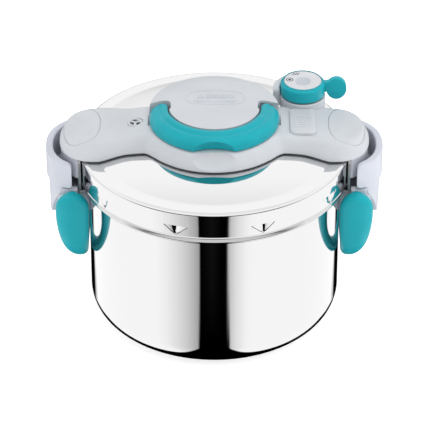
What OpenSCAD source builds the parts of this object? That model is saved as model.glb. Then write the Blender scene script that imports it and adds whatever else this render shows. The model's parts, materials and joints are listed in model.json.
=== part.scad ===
// Household jaw-clamp pressure cooker: pot, clamped lid, carrying beam and folding side handles.
// Origin: centre of the base, on the surface it stands on. +Z up, X along the beam, -Y the front.

/* [Pot] */
// Outer radius of the pot wall
pot_r = 112; // [112:0.1:112.2]
// Thickness of the steel sheet of pot and lid
sheet = 1.2; // [1:0.1:1.3]
// Height of the top of the pot's rim
rim_z = 149; // [148.8:0.1:149]
// Outer radius of the rolled rim
rim_r = 119; // [118.5:0.1:119]

/* [Lid] */
// Outer radius of the lid's skirt
lid_r = 121.1; // [121:0.1:121.3]
// Height of the flat ring around the lid
lid_z = 172; // [171.9:0.1:172]
// Rise of the dome above that ring
dome_rise = 7.5; // [7:0.1:7.5]
// Number of V-shaped dents in the skirt
dents = 10; // [8:1:12]

/* [Beam] */
// Half length of the beam across the lid
beam_half = 136.5; // [136:0.1:136.5]
// Radius of the round middle of the beam
hub_r = 66; // [66:0.1:67]
// Wall thickness of the plastic mouldings
wall = 2.4; // [2.2:0.1:2.6]

/* [Carrying bail] */
// Height of the bail's pivot axis
bail_z = 199; // [199:0.1:199.2]
// Outer radius of the bail
bail_r = 57.3; // [57:0.1:57.5]
// Inner radius of the bail
bail_in = 41.3; // [41.2:0.1:41.5]

/* [Jaws] */
// Outward travel of each jaw when the bail is lifted
jaw_travel = 6; // [5.9:0.1:6]
// Inner radius of the hook below the rim
hook_r = 115.4; // [115.2:0.1:115.5]

/* [Side handles] */
// Distance of each handle's hinge from the middle
hinge_x = 124.7; // [124.6:0.1:124.7]
// Height of each handle's hinge
hinge_z = 130; // [129.9:0.1:130]

/* [Steam selector] */
// Place of the selector along the beam
sel_x = 78.6; // [78.5:0.1:78.7]
// Place of the selector behind the beam's middle
sel_y = 39.3; // [39.2:0.1:39.4]
// Outer radius of the selector ring
sel_r = 19.7; // [19.6:0.1:19.8]

/* [Hidden] */

$fn = 96;
e = 0.5;          // how far a cutting shape runs past the face it cuts

grey = [0.83, 0.84, 0.87];
teal = [0.16, 0.65, 0.70];
steel = [0.78, 0.79, 0.80];
dark = [0.16, 0.17, 0.18];

// ---------- shared shapes ----------
function arc(cx, cy, r, from, to, n) =
    [for (i = [0:n]) let (a = from + (to - from) * i / n) [cx + r * cos(a), cy + r * sin(a)]];
function rev(v) = [for (i = [len(v) - 1:-1:0]) v[i]];

// A tube, or a ring, standing at height z0
module tube(r_out, r_in, z0, z1) {
    translate([0, 0, z0])
        difference() {
            cylinder(r = r_out, h = z1 - z0);
            translate([0, 0, -e]) cylinder(r = r_in, h = z1 - z0 + 2 * e);
        }
}

module rod_z(x, y, r, z0, z1) { translate([x, y, z0]) cylinder(r = r, h = z1 - z0, $fn = 48); }
module rod_y(x, z, r, y0, y1) {
    translate([x, y0, z]) rotate([-90, 0, 0]) cylinder(r = r, h = y1 - y0, $fn = 48);
}
module rod_x(y, z, r, x0, x1) {
    translate([x0, y, z]) rotate([0, 90, 0]) cylinder(r = r, h = x1 - x0, $fn = 48);
}
module block(x0, x1, y0, y1, z0, z1) {
    translate([x0, y0, z0]) cube([x1 - x0, y1 - y0, z1 - z0]);
}
// The same shape, or its mirror image on the other side: side is -1 (left) or 1 (right)
module on_side(side) {
    if (side > 0) children();
    else mirror([1, 0, 0]) children();
}

// ---------- pot ----------
corner_r = 24;
corner_x = pot_r - corner_r;
corner_z = sheet + corner_r;
floor_z = 4;      // underside of the raised floor that the base disc fits into
floor_r = 84.6;
lip_z = 140;

module pot_body() {
    lean = 2.6;       // how far the rim's outside face leans in towards its top
    face_z = lip_z + 1.8;
    color(steel) rotate_extrude($fn = 180) polygon(concat(
        [[0, floor_z], [floor_r, floor_z], [floor_r + 1.8, sheet + 0.2]],
        arc(corner_x, corner_z, corner_r, -90, 0, 12),
        [[pot_r, rim_z - 3.2], [pot_r + 1, rim_z - sheet], [rim_r - lean - 1.8, rim_z - sheet],
         [rim_r - lean - 1, rim_z - 2], [rim_r - sheet - 0.1, face_z], [rim_r - sheet - 0.1, lip_z + sheet],
         [rim_r - 4.5, lip_z + sheet], [rim_r - 4.5, lip_z]],
        arc(rim_r - 1.5, lip_z + 1.5, 1.5, -90, 12, 5),
        arc(rim_r - lean - 1.35, rim_z - 1.5, 1.5, 24, 90, 4),
        arc(pot_r - sheet + 3, rim_z - 3, 3, 100, 180, 4),
        arc(corner_x, corner_z, corner_r - sheet, 0, -90, 12),
        [[floor_r + 2.6, 2 * sheet + 0.05], [floor_r + 0.8, floor_z + sheet], [0, floor_z + sheet]]));
}

module base_disc() {
    color([0.7, 0.7, 0.71]) translate([0, 0, sheet]) cylinder(r = floor_r - 0.6, h = floor_z - sheet, $fn = 180);
}

module base_cap() {
    edge = 0.6;       // rounding of the cap's lower edge
    cap_r = floor_r + 2.9;
    color(steel) rotate_extrude($fn = 180) polygon(concat(
        [[0, 0]],
        arc(cap_r - edge, edge, edge, -90, 0, 4),
        [[cap_r, sheet], [0, sheet]]));
}

// ---------- side brackets: hoop, wall, block and hinge arm ----------
hoop_c = 100;
hoop_power = 2.3;
hoop_x0 = 124.8;  // where the hoop's two ends stop
hoop_z0 = 145.2;
hoop_z1 = 170;
hoop_dip = 142.7; // lower edge of the hoop between the loop's legs
block_z0 = 107;
arm_z0 = 118;
arm_z1 = 136;
arm_y = 39.5;
cheek_y = 33.7;
ledge_x = 130.3;  // inner edge of the ledge inside the hoop, clear of the jaw

function super(a, b, n, t) = [
    sign(cos(t)) * a * pow(abs(cos(t)), 2 / n), sign(sin(t)) * b * pow(abs(sin(t)), 2 / n)];
function hoop_line(a, b, from, to, n) =
    [for (i = [0:n]) let (p = super(a, b, hoop_power, from + (to - from) * i / n)) [hoop_c + p[0], p[1]]];

module hoop_plan() {
    intersection() {
        polygon(concat(hoop_line(49, 46, -80, 80, 36), rev(hoop_line(42.5, 40.5, -80, 80, 36))));
        translate([hoop_x0, -60]) square([40, 120]);
    }
}

stud_row = 10;
stud_z = 116;

// Outline of the wall below the hoop, as seen along the beam
web_line = [[-14, block_z0], [14, block_z0], [33, 138], [36, hoop_z0 + 2], [-36, hoop_z0 + 2], [-33, 138]];

module bracket(side) {
    pin_r = 2.5;
    color([0.82, 0.83, 0.87]) on_side(side) difference() {
        union() {
            translate([0, 0, hoop_z0]) linear_extrude(hoop_z1 - hoop_z0) hoop_plan();
            intersection() {
                translate([0, 0, block_z0]) linear_extrude(hoop_z0 - block_z0 + 1) hoop_plan();
                union() {
                    translate([ledge_x, 0, 0]) rotate([90, 0, 90]) linear_extrude(40) polygon(web_line);
                    block(hoop_x0, 160, -39.3, 39.3, hoop_dip, hoop_z0 + 1);
                }
            }
            translate([0, 0, hoop_dip]) linear_extrude(2.4) difference() {
                polygon(hoop_line(45, 43, -76, 76, 36));
                translate([0, -cheek_y]) square([ledge_x, 2 * cheek_y]);
                translate([0, -60]) square([119.8, 120]);
                for (y = [-80, 39.3]) translate([100, y]) square([60, 40.7]);
            }
            for (y = [-arm_y, cheek_y]) block(119.8, 134, y, y + arm_y - cheek_y, arm_z0, hoop_dip + 2);
            block(pot_r - 2, 144, -16, 16, block_z0, arm_z1);
            block(119.5, 138, -arm_y, arm_y, arm_z0, arm_z1);
        }
        translate([0, 0, block_z0 - e]) cylinder(r = pot_r + 0.02, h = 60, $fn = 180);
        for (y = [-1, 1]) rod_y(hinge_x, hinge_z, pin_r, min(y * 29.5, y * 41), max(y * 29.5, y * 41));
        for (y = [-stud_row, stud_row]) {
            rod_x(y, stud_z, 3.05, pot_r - 4, 123);
            rod_x(y, stud_z, 2, 122, 140);
            rod_x(y, stud_z, 4.2, 135, 152);
        }
    }
}

module handle_studs() {
    color(steel) for (s = [-1, 1], y = [-stud_row, stud_row]) on_side(s) difference() {
        rod_x(y, stud_z, 3, pot_r - 1.5, 122.5);
        translate([0, 0, 90]) cylinder(r = pot_r + 0.02, h = 40, $fn = 180);
        rod_x(y, stud_z, 1.5, 114.5, 124);
    }
}

module handle_screws() {
    color(steel) for (s = [-1, 1], y = [-stud_row, stud_row]) on_side(s) difference() {
        union() {
            rod_x(y, stud_z, 1.5, 116, 136);
            rod_x(y, stud_z, 3.8, 135, 137.6);
        }
        rod_x(y, stud_z, 1.6, 136.6, 140);
    }
}

module handle_pins(side) {
    color(steel) on_side(side) for (y = [-1, 1])
        rod_y(hinge_x, hinge_z, 2.5, min(y * 30, y * 50), max(y * 30, y * 50));
}

// ---------- folding loop handles ----------
loop_top = 146.5;
loop_out = 52;
loop_in = 40;
loop_c = 112.5;

// Side view of a loop, as distances from the middle of the pot and heights
function loop_outer(d) = 139.6 - 0.03 * d - 0.0033 * d * d;
function loop_inner(d) = 110.2 + 0.0009 * d * d;
function loop_side() = concat(
    [for (i = [0:12]) let (d = 62 * i / 12) [loop_inner(d), 126 - d]],
    [[114.2, 61.6], [116.4, 60.4], [121, 60.4], [123.4, 61.4]],
    [for (i = [12:-1:0]) let (d = 63 * i / 12) [loop_outer(d), 126 - d]],
    arc(hinge_x, hinge_z, 14.7, -14, 186, 16));

module loop_plan(half, low) {
    union() {
        translate([0, loop_c]) circle(r = half, $fn = 120);
        translate([-half, loop_c]) square([2 * half, low]);
    }
}

module loop_handle(side) {
    color(teal) on_side(side) difference() {
        intersection() {
            translate([0, 60, 0]) rotate([90, 0, 0]) linear_extrude(120) polygon(loop_side());
            translate([90, 0, 0]) rotate([90, 0, 90]) linear_extrude(60) loop_plan(loop_out, 40);
        }
        translate([89, 0, 0]) rotate([90, 0, 90]) linear_extrude(62) loop_plan(loop_in, 60);
        for (y = [-1, 1])
            rod_y(hinge_x, hinge_z, 2.55, min(y * 39, y * 50.2), max(y * 39, y * 50.2));
    }
}

// ---------- lid ----------
dome_r = 108;
flare = 0.4;      // how far the skirt's lower edge turns outwards
skirt_r = lid_r - flare;
skirt_z = 146.4;
dent_top = 157.2;
dent_turn = 2.2;  // the dents' turn about the vertical axis
dent_half = 11;
dent_depth = 2.4;

function dome(r) = lid_z + dome_rise * (1 - pow(r / dome_r, 3));

module lid_profile() {
    edge = 3;
    polygon(concat(
        [for (i = [0:18]) [dome_r * i / 18, dome(dome_r * i / 18)]],
        arc(skirt_r - edge, lid_z - edge, edge, 90, 0, 5),
        [[skirt_r, skirt_z + 1.7], [lid_r, skirt_z + 0.8], [lid_r, skirt_z + 0.4], [lid_r - 0.4, skirt_z],
         [skirt_r - sheet, skirt_z]],
        arc(skirt_r - edge, lid_z - edge, edge - sheet, 0, 90, 4),
        [for (i = [18:-1:0]) [dome_r * i / 18, dome(dome_r * i / 18) - sheet]]));
}

// A dent pressed into the skirt: a tetrahedron with its point at the bottom
module dent(grow, out) {
    r = skirt_r + out;
    half = dent_half + grow;
    low = skirt_z + 1.6 - grow;
    polyhedron(
        points = [[-half, -r, dent_top + grow], [half, -r, dent_top + grow], [0, -r, low],
                  [0, -skirt_r + dent_depth + grow, dent_top + grow]],
        faces = [[0, 1, 2], [0, 3, 1], [1, 3, 2], [2, 3, 0]]);
}

valve_r = 4;
ind_x = -69.7;
ind_r = 2.1;
safe_x = -88;
safe_y = 22;

module lid_shell() {
    step = 360 / dents;
    color(steel) difference() {
        union() {
            rotate_extrude($fn = 180) lid_profile();
            for (i = [0:dents - 1]) rotate([0, 0, step * (i + 0.5) + dent_turn]) intersection() {
                dent(0.9, -0.6);
                tube(skirt_r - 0.3, 100, skirt_z, 165);
            }
        }
        for (i = [0:dents - 1]) rotate([0, 0, step * (i + 0.5) + dent_turn]) dent(0, 0.4);
        rod_z(sel_x, sel_y, valve_r, 160, 190);
        rod_z(ind_x, 0, 3.5, 160, 190);
        rod_z(safe_x, safe_y, 4, 160, 190);
    }
}

module gasket() {
    top = lid_z - sheet - 0.3;
    color([0.75, 0.76, 0.78]) rotate_extrude($fn = 120) polygon([
        [117.2, top], [118.8, 169.2], [119.2, 168], [119.2, 161.2], [116, 160.8], [116, rim_z], [109.5, rim_z], [109, 151.5],
        [113.2, 153], [113.2, 163], [111, 166.5], [107, 168.2], [107, top]]);
}

stud_y = 32;
stud_r = 2.5;

module lid_studs() {
    color(steel) for (y = [-stud_y, stud_y]) difference() {
        rod_z(0, y, stud_r, dome(stud_y - stud_r) + 0.02, 187);
        rod_z(0, y, 0.6, 185, 188);
    }
}

// ---------- steel bridge under the beam, with the straps that guide the jaw arms ----------
plate_z0 = 179.8;
plate_z1 = 182.6;
guide_x0 = 50;
guide_x1 = 56;

module bridge_plate() {
    color(steel) difference() {
        union() {
            block(-29, 29, -42, 42, plate_z0, plate_z1);
            for (y = [-1, 1]) block(-guide_x1, guide_x1, min(y * 16, y * 22), max(y * 16, y * 22),
                                    plate_z0, plate_z1);
            for (s = [-1, 1]) on_side(s) difference() {
                block(guide_x0, guide_x1, -22, 22, plate_z0, 185.4);
                block(guide_x0 - 1, guide_x1 + 1, -16, 16, plate_z0 - 1, 183.6);
            }
        }
        for (y = [-stud_y, stud_y]) rod_z(0, y, 2.5, 170, 190);
        for (x = [-22, 22], y = [-37, 37]) rod_z(x, y, 1.6, 170, 190);
    }
}

module bridge_nuts() {
    color(steel) for (y = [-stud_y, stud_y]) translate([0, y, plate_z1]) difference() {
        cylinder(r = 4.6, h = 3.4, $fn = 6);
        translate([0, 0, -e]) cylinder(r = 2.5, h = 5, $fn = 48);
    }
}

module bail_bracket() {
    color(steel) difference() {
        union() {
            block(-27, 27, -8, 8, plate_z1, plate_z1 + 2.2);
            for (s = [-1, 1]) on_side(s) {
                block(23, 27, -8, 8, plate_z1, bail_z - 1);
                rod_x(0, bail_z, 5.6, 23, 27);
            }
        }
        rod_x(0, bail_z, 2.5, -30, 30);
    }
}

module bail_pins() {
    color(steel) for (s = [-1, 1]) on_side(s) rod_x(0, bail_z, 2.5, 22, 44);
}

// ---------- plastic beam ----------
waist_w = 33.7;
lobe_w = 39.4;
lobe_x = 103;
lobe_len = beam_half - lobe_x;
lobe_power = 2.4;
beam_top = 192.3;
flank_foot = 2;   // upright part of the beam's flanks
flank_slope = 1.15;

// Half width of the beam's outline at distance x from the middle
function smooth(t) = let (u = max(0, min(1, t))) u * u * (3 - 2 * u);
function arm_w(x) = x < 75 ? waist_w
    : x < lobe_x ? waist_w + (lobe_w - waist_w) * smooth((x - 75) / (lobe_x - 75))
    : lobe_w * pow(max(0, 1 - pow((x - lobe_x) / lobe_len, lobe_power)), 1 / lobe_power);
function hub_w(x) = x < hub_r ? sqrt(hub_r * hub_r - x * x) : 0;
function beam_w(x) = pow(pow(arm_w(abs(x)), 8) + pow(hub_w(abs(x)), 8), 1 / 8);

// Height of the beam's crown, and of its lower edge just above the lid
function crown(x) = beam_top - 2.9 * smooth((abs(x) - 56) / 20) - 2.4 * smooth((abs(x) - 80) / 40);
function under(x, y) = let (r = norm([x, y])) max(lid_z, r < dome_r ? dome(r) : 0) + 1.4;

// Distance of a point from the beam's edge, roughly
function edge_in(x, y) = let (w = beam_w(x), slope = (beam_w(abs(x) + 0.5) - beam_w(abs(x) - 0.5)))
    (w - abs(y)) / sqrt(1 + slope * slope);
function beam_z(x, y) = let (d = max(0, edge_in(x, y)))
    min(crown(x), under(x, y) + flank_foot + flank_slope * d);

// Stations along the beam, closer together at its round ends
function stations(half, n) = [for (i = [-n:n]) let (t = i / n) half * sin(90 * t * (1.15 - 0.15 * t * t))];
function across(n) = [for (j = [-n:n]) sin(90 * j / n)];

// Closed solid between two height functions over the beam's outline
module beam_solid(inset, drop, half, low, nx, ny) {
    xs = stations(half, nx);
    ts = across(ny);
    cols = len(ts);
    top = [for (x = xs, t = ts) let (y = t * max(1.5, beam_w(x) - inset))
        [x, y, min(crown(x) - drop, beam_z(x * (1 + inset / 400), sign(y) * (abs(y) + inset)) - drop * 0.6)]];
    bottom = [for (x = xs, t = ts) let (y = t * max(1.5, beam_w(x) - inset)) [x, y, under(x, y) + low]];
    n = len(top);
    function at(i, j) = i * cols + j;
    rows = len(xs);
    polyhedron(points = concat(top, bottom), faces = concat(
        [for (i = [0:rows - 2], j = [0:cols - 2]) each
            [[at(i, j), at(i, j + 1), at(i + 1, j + 1)], [at(i, j), at(i + 1, j + 1), at(i + 1, j)]]],
        [for (i = [0:rows - 2], j = [0:cols - 2]) each
            [[n + at(i, j), n + at(i + 1, j + 1), n + at(i, j + 1)],
             [n + at(i, j), n + at(i + 1, j), n + at(i + 1, j + 1)]]],
        [for (i = [0:rows - 2]) each
            [[at(i, 0), at(i + 1, 0), n + at(i + 1, 0)], [at(i, 0), n + at(i + 1, 0), n + at(i, 0)]]],
        [for (i = [0:rows - 2]) each
            [[at(i + 1, cols - 1), at(i, cols - 1), n + at(i, cols - 1)],
             [at(i + 1, cols - 1), n + at(i, cols - 1), n + at(i + 1, cols - 1)]]],
        [for (j = [0:cols - 2]) each
            [[at(0, j + 1), at(0, j), n + at(0, j)], [at(0, j + 1), n + at(0, j), n + at(0, j + 1)]]],
        [for (j = [0:cols - 2]) each
            [[at(rows - 1, j), at(rows - 1, j + 1), n + at(rows - 1, j + 1)],
             [at(rows - 1, j), n + at(rows - 1, j + 1), n + at(rows - 1, j)]]]));
}

button_x = 77.5;
button_y = 0;
button_l = 42;
button_w = 23;

module button_plan(grow) {
    r = 5 + grow;
    l = button_l / 2 + grow - r;
    w = button_w / 2 + grow - r;
    union() {
        square([2 * w, 2 * (l + r)], center = true);
        square([2 * (w + r), 2 * l], center = true);
        for (x = [-w, w], y = [-l, l]) translate([x, y]) circle(r = r, $fn = 40);
    }
}

cap_x = 116.5;
cap_a = 16;
cap_b = 28.5;

// Plate that follows the beam's top inside an oval, from low below the surface to high above it
module cap_solid(grow, low, high) {
    rings = 5;
    sides = 36;
    a = cap_a + grow;
    b = cap_b + grow;
    pts = [for (k = [1:rings], j = [0:sides - 1])
        let (p = super(a * k / rings, b * k / rings, 2.3, 360 * (j + 0.5) / sides)) [cap_x + p[0], p[1]]];
    flat = concat([[cap_x, 0]], pts);
    n = len(flat);
    function at(k, j) = 1 + k * sides + j % sides;
    lid_faces = concat(
        [for (j = [0:sides - 1]) [0, at(0, j + 1), at(0, j)]],
        [for (k = [0:rings - 2], j = [0:sides - 1]) each
            [[at(k, j), at(k + 1, j + 1), at(k + 1, j)], [at(k, j), at(k, j + 1), at(k + 1, j + 1)]]]);
    polyhedron(
        points = concat([for (p = flat) [p[0], p[1], beam_z(p[0], p[1]) + high]],
                        [for (p = flat) [p[0], p[1], beam_z(p[0], p[1]) + low]]),
        faces = concat(lid_faces,
            [for (f = lid_faces) [n + f[0], n + f[2], n + f[1]]],
            [for (j = [0:sides - 1]) each let (p = at(rings - 1, j), q = at(rings - 1, j + 1))
                [[p, q, n + q], [p, n + q, n + p]]]));
}

// The hollow under the bail's notch, for a finger
scoop_y = -55;
scoop_z = 201;
scoop_r = 17;

module beam_shell() {
    color(grey) difference() {
        union() {
            difference() {
                beam_solid(0, 0, beam_half - 0.05, 0, 22, 8);
                beam_solid(wall, wall, beam_half - wall, -3, 18, 5);
            }
            intersection() {
                translate([0, scoop_y, scoop_z]) sphere(r = scoop_r + 2, $fn = 60);
                block(-19, 19, -63, -36, 180, 191.5);
            }
        }
        rod_z(0, 0, 36, 170, 200);
        for (s = [-1, 1]) on_side(s) {
            block(30, 47, -7.4, 7.4, 184, 200);
            rod_x(0, bail_z, 11, 41, 58.5);
        }
        rod_z(sel_x, sel_y, housing_r + 0.3, 170, 200);
        at_selector() intersection() {
            rod_z(0, 0, guard_r + 0.3, 185.7, 200);
            guard_sector(0.3);
        }
        rod_z(ind_x, 0, 7.05, 186, 200);
        translate([button_x, button_y, 184]) linear_extrude(16) button_plan(0.4);
        for (x = [-22, 22], y = [-37, 37]) {
            rod_z(x, y, 1.7, 170, 200);
            rod_z(x, y, 3.4, beam_top - 1.9, 200);
        }
        translate([0, scoop_y, scoop_z]) sphere(r = scoop_r, $fn = 60);
        for (s = [-1, 1]) on_side(s) cap_solid(0.2, -1.4, 4);
    }
}

module beam_screws() {
    color(steel) for (x = [-22, 22], y = [-37, 37]) difference() {
        union() {
            rod_z(x, y, 1.6, plate_z0 + 0.1, beam_top - 1);
            rod_z(x, y, 3.2, beam_top - 1.9, beam_top - 0.2);
        }
        rod_z(x, y, 1.2, beam_top - 1, beam_top + 1);
    }
}

module arm_cap(side) { color(grey) on_side(side) cap_solid(0, -1, 0); }

// ---------- round cover, bail handle and cam drums ----------
cover_in = 40;
cover_z = 207.5;
function cover_top(r) = r < cover_in ? cover_z + 1.6 * (1 - pow(r / cover_in, 2))
    : cover_z - 0.09 * (r - cover_in) - 0.0064 * pow(r - cover_in, 2);

module cover_disc(r, drop, z0) {
    edge = 1.5;
    n = 14;
    rotate_extrude($fn = 120) polygon(concat(
        [for (i = [0:n]) [(r - edge) * i / n, cover_top((r - edge) * i / n) - drop]],
        arc(r - edge, cover_top(r - edge) - drop - edge, edge, 75, 0, 4),
        [[r, z0], [0, z0]]));
}

module center_cover() {
    shell = 2;
    back_y = 8.9;
    color(grey) difference() {
        union() {
            difference() {
                cover_disc(cover_in, 0, beam_top + 0.3);
                cover_disc(cover_in - shell, shell, beam_top - 1);
            }
            difference() {
                cover_disc(bail_r, 0, beam_top + 0.3);
                cover_disc(bail_r - shell, shell, beam_top - 1);
                block(-80, 80, -80, back_y, 180, 220);
                rod_z(0, 0, cover_in - shell, 180, 206);
            }
            intersection() {
                difference() {
                    cover_disc(bail_r, 0, beam_top + 0.3);
                    rod_z(0, 0, cover_in - shell, 180, 220);
                }
                block(-80, 80, back_y, back_y + 5, 180, 220);
            }
            for (a = [45:90:315]) rotate([0, 0, a]) {
                block(33, 35.5, -4, 4, 187, 206.5);
                block(33, 37.2, -4, 4, 187, 189);
            }
        }
        for (s = [-1, 1]) on_side(s) {
            rod_x(0, bail_z, 6.9, 30, 45);
            rod_x(0, bail_z, 10.9, 39.9, 60);
        }
    }
}

// The bail's cross-section, from its inner edge outwards
function bail_section() = concat(
    [[bail_in + 1.4, 199], [bail_in, 203], [bail_in, 206.2]],
    arc(bail_in + 1.2, 206.3, 1.2, 180, 100, 4),
    [[47, 206]],
    [for (i = [1:8]) let (t = i / 8) [47 + (bail_r - 48) * sin(90 * t), 206 - 12 * (1 - cos(90 * t))]],
    [[bail_r, 193.6], [bail_r - 0.6, 193.1], [bail_in + 3, 193.1], [bail_in + 1.4, 195]]);

module bail_handle() {
    end_y = 8;
    color(teal) difference() {
        union() {
            intersection() {
                rotate_extrude($fn = 140) polygon(bail_section());
                block(-80, 80, -80, 0, 180, 220);
            }
            for (s = [-1, 1]) on_side(s) {
                intersection() {
                    rotate_extrude($fn = 140) polygon(bail_section());
                    union() {
                        rod_z(48.9, 0, end_y, 180, 220);
                        rod_x(0, bail_z, 6.4, 30, 70);
                    }
                    rod_x(0, bail_z, 10.4, 30, 70);
                    block(30, 80, -e, 20, 190, 220);
                }
                rod_x(0, bail_z, 6.4, 41, 46);
            }
        }
        for (s = [-1, 1]) on_side(s) rod_x(0, bail_z, 2.55, 36, 44.2);
        translate([0, -74, 198]) sphere(r = 26, $fn = 60);
    }
}

// Barrel cam whose spiral groove pushes the jaw's follower pin outwards
follower_r = 1.6;
follower_x = 33.1;
drum_x0 = 28;
drum_x1 = 41;

module cam_drum(side) {
    steps = 12;
    color([0.35, 0.36, 0.38]) on_side(side) difference() {
        rod_x(0, bail_z, 6.4, drum_x0, drum_x1);
        rod_x(0, bail_z, 2.55, drum_x0 - 1, drum_x1 + 1);
        for (i = [0:steps]) translate([follower_x + jaw_travel * i / steps, 0, bail_z])
            rotate([90 * i / steps, 0, 0]) translate([0, 0, -8]) cylinder(r = follower_r + 0.45, h = 4.9);
    }
}

// ---------- jaws ----------
arm_low = 180.4;
arm_high = 182.4;
web_r = 121.7;
jaw_t = 2;
web_top = 175.9;
web_z = 136.6;

module jaw(side) {
    color(steel) on_side(side) difference() {
        union() {
            block(31.3, 94, -15, 15, arm_low, arm_high);
            rod_z(follower_x, 0, follower_r, arm_high - 0.5, bail_z - 3.6);
            translate([0, 15, 0]) rotate([90, 0, 0]) linear_extrude(30)
                polygon([[90, arm_low], [94, arm_low], [101, web_top - jaw_t], [104, web_top - jaw_t],
                         [104, web_top], [102, web_top], [95, arm_high], [90, arm_high]]);
            intersection() {
                block(100, 130, -22, 22, web_top - jaw_t, web_top);
                cylinder(r = web_r + jaw_t, h = 200, $fn = 180);
            }
            intersection() {
                tube(web_r + jaw_t, web_r, web_z, web_top);
                union() {
                    block(80, 130, -22, 22, web_z, web_top);
                    block(80, 130, -33, 33, web_z, 171);
                }
            }
            intersection() {
                tube(web_r + jaw_t, hook_r, web_z, web_z + 2.2);
                block(80, 130, -33, 33, web_z, 171);
            }
        }
        block(58, 88, -6.5, 6.5, arm_low - 1, arm_high + 1);
        for (y = [-10, 10]) rod_x(y, 163, 1.5, 110, 135);
    }
}

module jaw_cover(side) {
    color([0.84, 0.85, 0.88]) on_side(side) difference() {
        translate([0, 0, 152]) linear_extrude(20.6) difference() {
            intersection() {
                polygon(concat([[100, -33]], [for (i = [-24:24]) let (p = super(35.8, 38.5, hoop_power, 2.6 * i))
                    [hoop_c + p[0], p[1]]], [[100, 33]]));
                translate([118, -33]) square([40, 66]);
            }
            circle(r = web_r + jaw_t + 0.05, $fn = 180);
        }
        for (y = [-10, 10]) {
            rod_x(y, 163, 1.5, 110, 135);
            rod_x(y, 163, 2.9, 132.2, 140);
        }
    }
}

module jaw_rivets(side) {
    color(steel) on_side(side) for (y = [-10, 10]) {
        rod_x(y, 163, 1.5, web_r + 0.6, 133);
        rod_x(y, 163, 2.8, 132.2, 133.4);
    }
}

// ---------- steam valve and selector ----------
module at_selector() { translate([sel_x, sel_y, 0]) children(); }

// Sector that holds the guard wall beside the selector, clear of the wing's sweep
guard_from = 78;
guard_to = 188;
guard_r = 26.4;
housing_r = 20.2;
module guard_sector(grow) {
    intersection() {
        rotate([0, 0, guard_to - 90]) block(-grow, 40, -40, 40, 180, 210);
        rotate([0, 0, guard_from + 90]) block(-grow, 40, -40, 40, 180, 210);
    }
}

module valve_housing() {
    guard_in = sel_r + 0.8;
    color(grey) at_selector() difference() {
        union() {
            tube(housing_r, 17.5, 178.6, 195.6);
            tube(housing_r, valve_r + 0.3, 186, 188.5);
            intersection() {
                union() {
                    tube(guard_r, guard_in, 186, 203);
                    tube(22, 17.5, 186, 195.6);
                }
                guard_sector(0);
            }
        }
    }
}

module valve_tube() {
    seat_z = 190.4;   // foot of the cone the plunger sits on
    color(steel) at_selector() difference() {
        union() {
            translate([0, 0, 166]) cylinder(r = valve_r - 0.02, h = seat_z - 166);
            translate([0, 0, 177.2]) cylinder(r = 6.6, h = 2.2);
            translate([0, 0, seat_z]) cylinder(r1 = valve_r - 0.02, r2 = 2.2, h = 2);
        }
        translate([0, 0, 160]) cylinder(r = 1.3, h = 40);
    }
}

module valve_nut() {
    color(steel) at_selector() translate([0, 0, 168.6]) difference() {
        cylinder(r = 7.5, h = 4, $fn = 6);
        translate([0, 0, -e]) cylinder(r = valve_r, h = 6, $fn = 48);
    }
}

module valve_plunger() {
    color([0.7, 0.7, 0.72]) at_selector() difference() {
        translate([0, 0, 190.8]) cylinder(r = 9, h = 7.6);
        translate([0, 0, 190]) cylinder(r1 = 5.4, r2 = 2.7, h = 2.4);
        translate([0, 0, 196.4]) tube(8, 5.4, 0, 3);
    }
}

// A spring wound from round wire, as one swept tube
module spring(r, wire, z0, z1, turns) {
    n = round(turns * 12);
    m = 6;
    function ring(i) = let (a = 360 * turns * i / n, z = z0 + wire + (z1 - z0 - 2 * wire) * i / n)
        [for (j = [0:m - 1]) let (b = 360 * j / m)
            [(r + wire * cos(b)) * cos(a), (r + wire * cos(b)) * sin(a), z + wire * sin(b)]];
    polyhedron(
        points = [for (i = [0:n]) each ring(i)],
        faces = concat(
            [[for (j = [0:m - 1]) j]],
            [[for (j = [m - 1:-1:0]) n * m + j]],
            [for (i = [0:n - 1], j = [0:m - 1]) each
                let (k = (j + 1) % m, p = i * m, q = p + m)
                [[p + j, q + j, q + k], [p + j, q + k, p + k]]]));
}

module valve_spring() { color(steel) at_selector() spring(6.7, 0.5, 196.5, 200.6, 3); }

module selector_ring() {
    wing_x = 29.9;
    wing_z = 202.4;
    inner = 17.1;
    color(teal) at_selector() union() {
        rotate_extrude($fn = 120) polygon(concat(
            [[inner, 196.8], [sel_r - 0.8, 196.8], [sel_r, 198]],
            arc(sel_r - 2.4, 207.4, 2.4, 0, 80, 5),
            [[inner, 210]]));
        translate([wing_x, 3, wing_z]) rotate([90, 0, 0]) scale([9, 10.4, 6]) cylinder(r = 1, h = 1);
        block(18.6, 24, -2.6, 2.6, 200.5, 206.2);
    }
}

module selector_disc() {
    color([0.9, 0.9, 0.92]) at_selector() difference() {
        union() {
            translate([0, 0, 207.4]) cylinder(r = 17.05, h = 2.2);
            tube(8.2, 6, 202.2, 207.6);
            tube(16.4, 15, 203, 207.6);
        }
        translate([0, 0, 207]) cylinder(r = 6.7, h = 5);
    }
}

module selector_bowl() {
    color([0.55, 0.57, 0.6]) at_selector() difference() {
        translate([0, 0, 205.4]) cylinder(r = 5.9, h = 2.1);
        translate([0, 0, 214.5]) sphere(r = 8.4, $fn = 60);
        translate([0, 0, 150]) cylinder(r = 1, h = 70);
    }
}

// ---------- release button ----------
carrier_z = 184.2;
button_z0 = 188.2;
button_z1 = 192.8;

module release_button() {
    color(grey) difference() {
        translate([button_x, button_y, button_z0]) linear_extrude(button_z1 - button_z0) button_plan(0);
        translate([button_x, button_y, button_z0 - e]) linear_extrude(2.5) button_plan(-2);
        rod_z(sel_x, sel_y, housing_r + 0.5, 180, 200);
    }
}

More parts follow.
